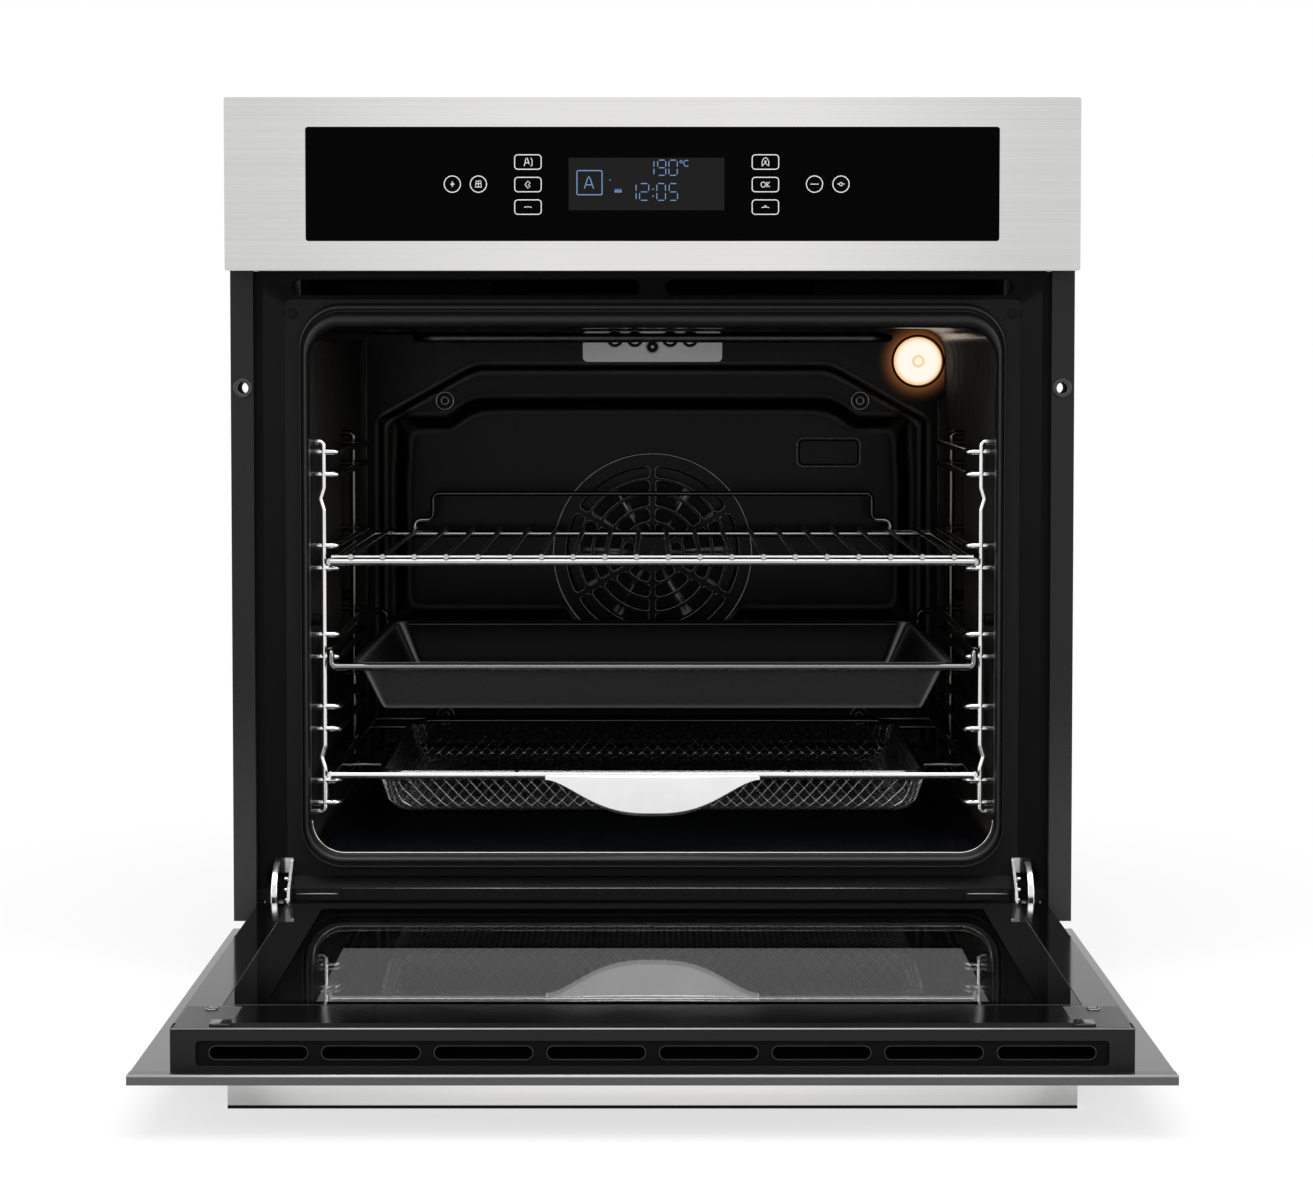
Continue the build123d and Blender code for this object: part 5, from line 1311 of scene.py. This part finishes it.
# %% [markdown]
# ## Handle plate of the basket
# The basket is pulled out by a plate that hangs from its front wire. Its lower edge is a bell: for a share t
# of the half width the depth is (1 - t^2.7)^1.9 of the whole, below a narrow straight strip. The plate leans
# back, so it catches the light from above.

# %% Handle plate
plate_low, plate_high = box_mm("basket_handle")
PLATE = {"strip": 3.0, "width_power": 2.7, "depth_power": 1.9, "lean": 1.4, "sheet": 0.8}


def bell_plate(columns=81, rows=13):
    """Rows run from the top edge to the bell's edge; the face leans back evenly towards the top."""
    x = np.linspace(plate_low[0], plate_high[0], columns)[:, None]
    share = np.linspace(0, 1, rows)[None, :]
    height = plate_high[2] - plate_low[2]
    bell = (1 - np.abs(x / plate_high[0]) ** PLATE["width_power"]) ** PLATE["depth_power"]
    z = plate_high[2] - share * (PLATE["strip"] + (height - PLATE["strip"]) * bell)
    y = plate_low[1] + PLATE["lean"] * (z - plate_low[2]) / height
    return np.stack([x + 0 * share, y, z], -1) * MM, grid_faces(columns, rows)


plate = make_piece("bell_plate", *bell_plate(), "plate_steel", "basket", stands_for=["basket_handle"])
thicken(plate, PLATE["sheet"])
print("handle plate done")

# %% [markdown]
# ## Door details
# The front edge of the door is a moulded strip with eight slots. Each slot has a raised lip, and behind the
# slots lies a black sheet of painted shade. Thin bright lines, painted highlights, mark the top edge of the
# strip and the edge of the outer glass, and darker ones the edges of the inner pane. Each of the two clips
# that hold the pane has a glossy tab in front and a pale ring round its screw, a painted highlight. The
# handle is a plain bar. All of them are small sections carried along lines and rings.

# %% Slots and bars of the door
VENT = {"count": 8, "pitch": 64.1, "half": 28.2, "tall": 4.0, "corner": 3.9, "z": 20.5, "band": -441.6}
# Finish, half length, y, z, height, depth and rounding of each bar across the door
# slot_backing is a black sheet of painted shade behind the slots; vent_bead and glass_edge are pale lines of
# painted highlight
DOOR_BARS = {
    "slot_backing": ("shade_black", 262.0, -431.0, 20.5, 13.0, 1.0, 0.3),
    "vent_bead": ("line_steel", 274.0, -443.0, 34.6, 1.0, 0.8, 0.3),
    "glass_edge": ("edge_steel", 297.3, -455.4, 10.4, 1.4, 0.6, 0.2),
}


def along_x(start, end, y, z):
    """Three points of a straight path from side to side."""
    return [(start, y, z), ((start + end) / 2, y, z), (end, y, z)]


def bar_across(half, y, z, wide_z, deep_y, round_edge):
    """A rounded rectangle carried from side to side."""
    return carried(rounded_ring(wide_z / 2, deep_y / 2, round_edge, 5), along_x(-half, half, y, z))


slot_middles = (np.arange(VENT["count"]) - (VENT["count"] - 1) / 2) * VENT["pitch"]
slot_ring = rounded_ring(VENT["half"], VENT["tall"], VENT["corner"], 8)
vent_lips = [bead(slot_ring + [x, VENT["z"]], VENT["band"], 0.8, 0.8) for x in slot_middles]
make_piece("slot_lips", *joined(vent_lips), "vent_lip", "door")
for name, (finish_name, *numbers) in DOOR_BARS.items():
    make_piece(name, *bar_across(*numbers), finish_name, "door")
print("slots in the door:", VENT["count"])

# %% Clips, pane edges and handle
CLIP = {"tab": (241.4, 252.6), "tab_y": -433.5, "tab_z": 35.9, "screw": (257.75, -392.8), "ring_z": 35.7}
PANE = {"half": 252.6, "rear": -44.0, "front": -380.0, "z": 35.0}
HANDLE_BAR = (250.0, -375.5, -18.4, 15.2, 16.0, 1.0)

clip_tabs = [carried(rounded_ring(0.9, 6.5, 0.6, 4),
                     along_x(side * CLIP["tab"][0], side * CLIP["tab"][1], CLIP["tab_y"], CLIP["tab_z"]))
             for side in SIDES]
make_piece("clip_tabs", *joined(clip_tabs), "edge_gloss", "door")
# Painted highlights: pale rings round the clips' screws
clip_rings = [carried(oval(1.6, 0.8, 8),
                      lying(circle(side * CLIP["screw"][0], CLIP["screw"][1], 3.2), CLIP["ring_z"]),
                      True, (0.0, 0.0, 1.0))
              for side in SIDES]
make_piece("clip_rings", *joined(clip_rings), "lip_steel", "door")
pane = lying([(-PANE["half"], PANE["rear"]), (-PANE["half"], PANE["front"]),
              (PANE["half"], PANE["front"]), (PANE["half"], PANE["rear"])], PANE["z"])
pane_edges = [carried(oval(0.7, 0.4, 6), [start, (start + end) / 2, end], flat=(0.0, 0.0, 1.0))
              for start, end in zip(pane, pane[1:])]
make_piece("pane_edges", *joined(pane_edges), "vent_lip", "door")
make_piece("handle_profile", *bar_across(*HANDLE_BAR), "handle_steel", "door", stands_for=["handle_bar"])
print("edges round the pane:", len(pane_edges))

# %% [markdown]
# ## Hinges and the mouth's edge
# Each hinge has a chromed claw that bulges forward out of its bracket, with three short pins beside it. The
# claw's path is a parabola that starts at one point, ends at another and is pulled towards a third, with the
# weights (1 - t)^2, t^2 and 2 t (1 - t). The mouth's lower edge, the fold below it and the edges of the hinge
# strips get thin bright beads: painted highlight lines. The screw holes of the flanges have dark sleeves,
# painted shade inside the holes.

# %% Claws and pins
CLAW = {"x": 266.9, "start": (8.0, 57.0), "pull": (-24.0, 44.0), "end": (-9.0, 16.5)}
PIN = {"inner": 258.0, "outer": 260.5, "thick": 2.6, "places": ((-4.0, 46.0), (-6.0, 38.5), (-5.0, 31.0))}


def claw(side):
    """A flat strip on a parabola, which starts high in the bracket and ends low, pulled forward between."""
    t = np.linspace(0, 1, 24)[:, None]
    path = (1 - t) ** 2 * CLAW["start"] + 2 * t * (1 - t) * CLAW["pull"] + t ** 2 * CLAW["end"]
    path = np.insert(path, 0, side * CLAW["x"], axis=1)
    return carried(rounded_ring(0.9, 2.2, 0.6, 4), path, flat=(1.0, 0.0, 0.0))


def pin(side, y, z):
    """A short pin across the bracket."""
    path = along_x(side * PIN["inner"], side * PIN["outer"], y, z)
    return carried(oval(PIN["thick"], PIN["thick"], 10), path)


hinge_bits = [claw(side) for side in SIDES]
hinge_bits += [pin(side, y, z) for side in SIDES for y, z in PIN["places"]]
make_piece("hinge_claws", *joined(hinge_bits), "claw_chrome", "oven")
print("claws and pins:", len(hinge_bits))

# %% Bright edges and sleeves
STRIP = {"inner": 224.0, "outer": 253.0, "y": 5.8, "edges": (33.4, 28.4)}
SLEEVE = {"x": 288.5, "z": 393.0, "radius": 4.15, "front": 1.2, "rear": 29.0}


def sleeve(side, count=40):
    """A tube behind a screw hole, from the flange to the back."""
    ring = circle(side * SLEEVE["x"], SLEEVE["z"], SLEEVE["radius"], count)
    points = np.concatenate([upright(ring, SLEEVE["front"]), upright(ring, SLEEVE["rear"])]) * MM
    return points, grid_faces(2, count, False, True).tolist()


# Painted highlight lines: pale beads on the fold and on the hinge strips' edges
fold_line = carried(oval(0.7, 0.5, 8), along_x(-221.0, 221.0, 6.9, 37.2))
make_piece("fold_line", *fold_line, "lip_steel", "oven")
strip_lines = [carried(oval(0.9, 0.5, 8),
                       along_x(side * STRIP["inner"], side * STRIP["outer"], STRIP["y"], z))
               for side in SIDES for z in STRIP["edges"]]
make_piece("strip_lines", *joined(strip_lines), "line_steel", "oven")

# Painted highlight: a bright bead along the mouth's lower edge
mouth_ring = rounded_ring(MOUTH["half"] - 0.4, MOUTH_RISE - 0.4, MOUTH["corner"], 24)
mouth_ring = np.roll(mouth_ring, 24, 0)[:48] + [0, MOUTH_MIDDLE]
make_piece("mouth_edge", *carried(oval(0.7, 0.7, 8), upright(mouth_ring, 15.6)), "claw_chrome", "oven")
# Painted shade: black sleeves inside the flanges' screw holes
make_piece("screw_sleeves", *joined([sleeve(side) for side in SIDES]), "shade_black", "oven")
print("edges of the hinge strips:", len(strip_lines))
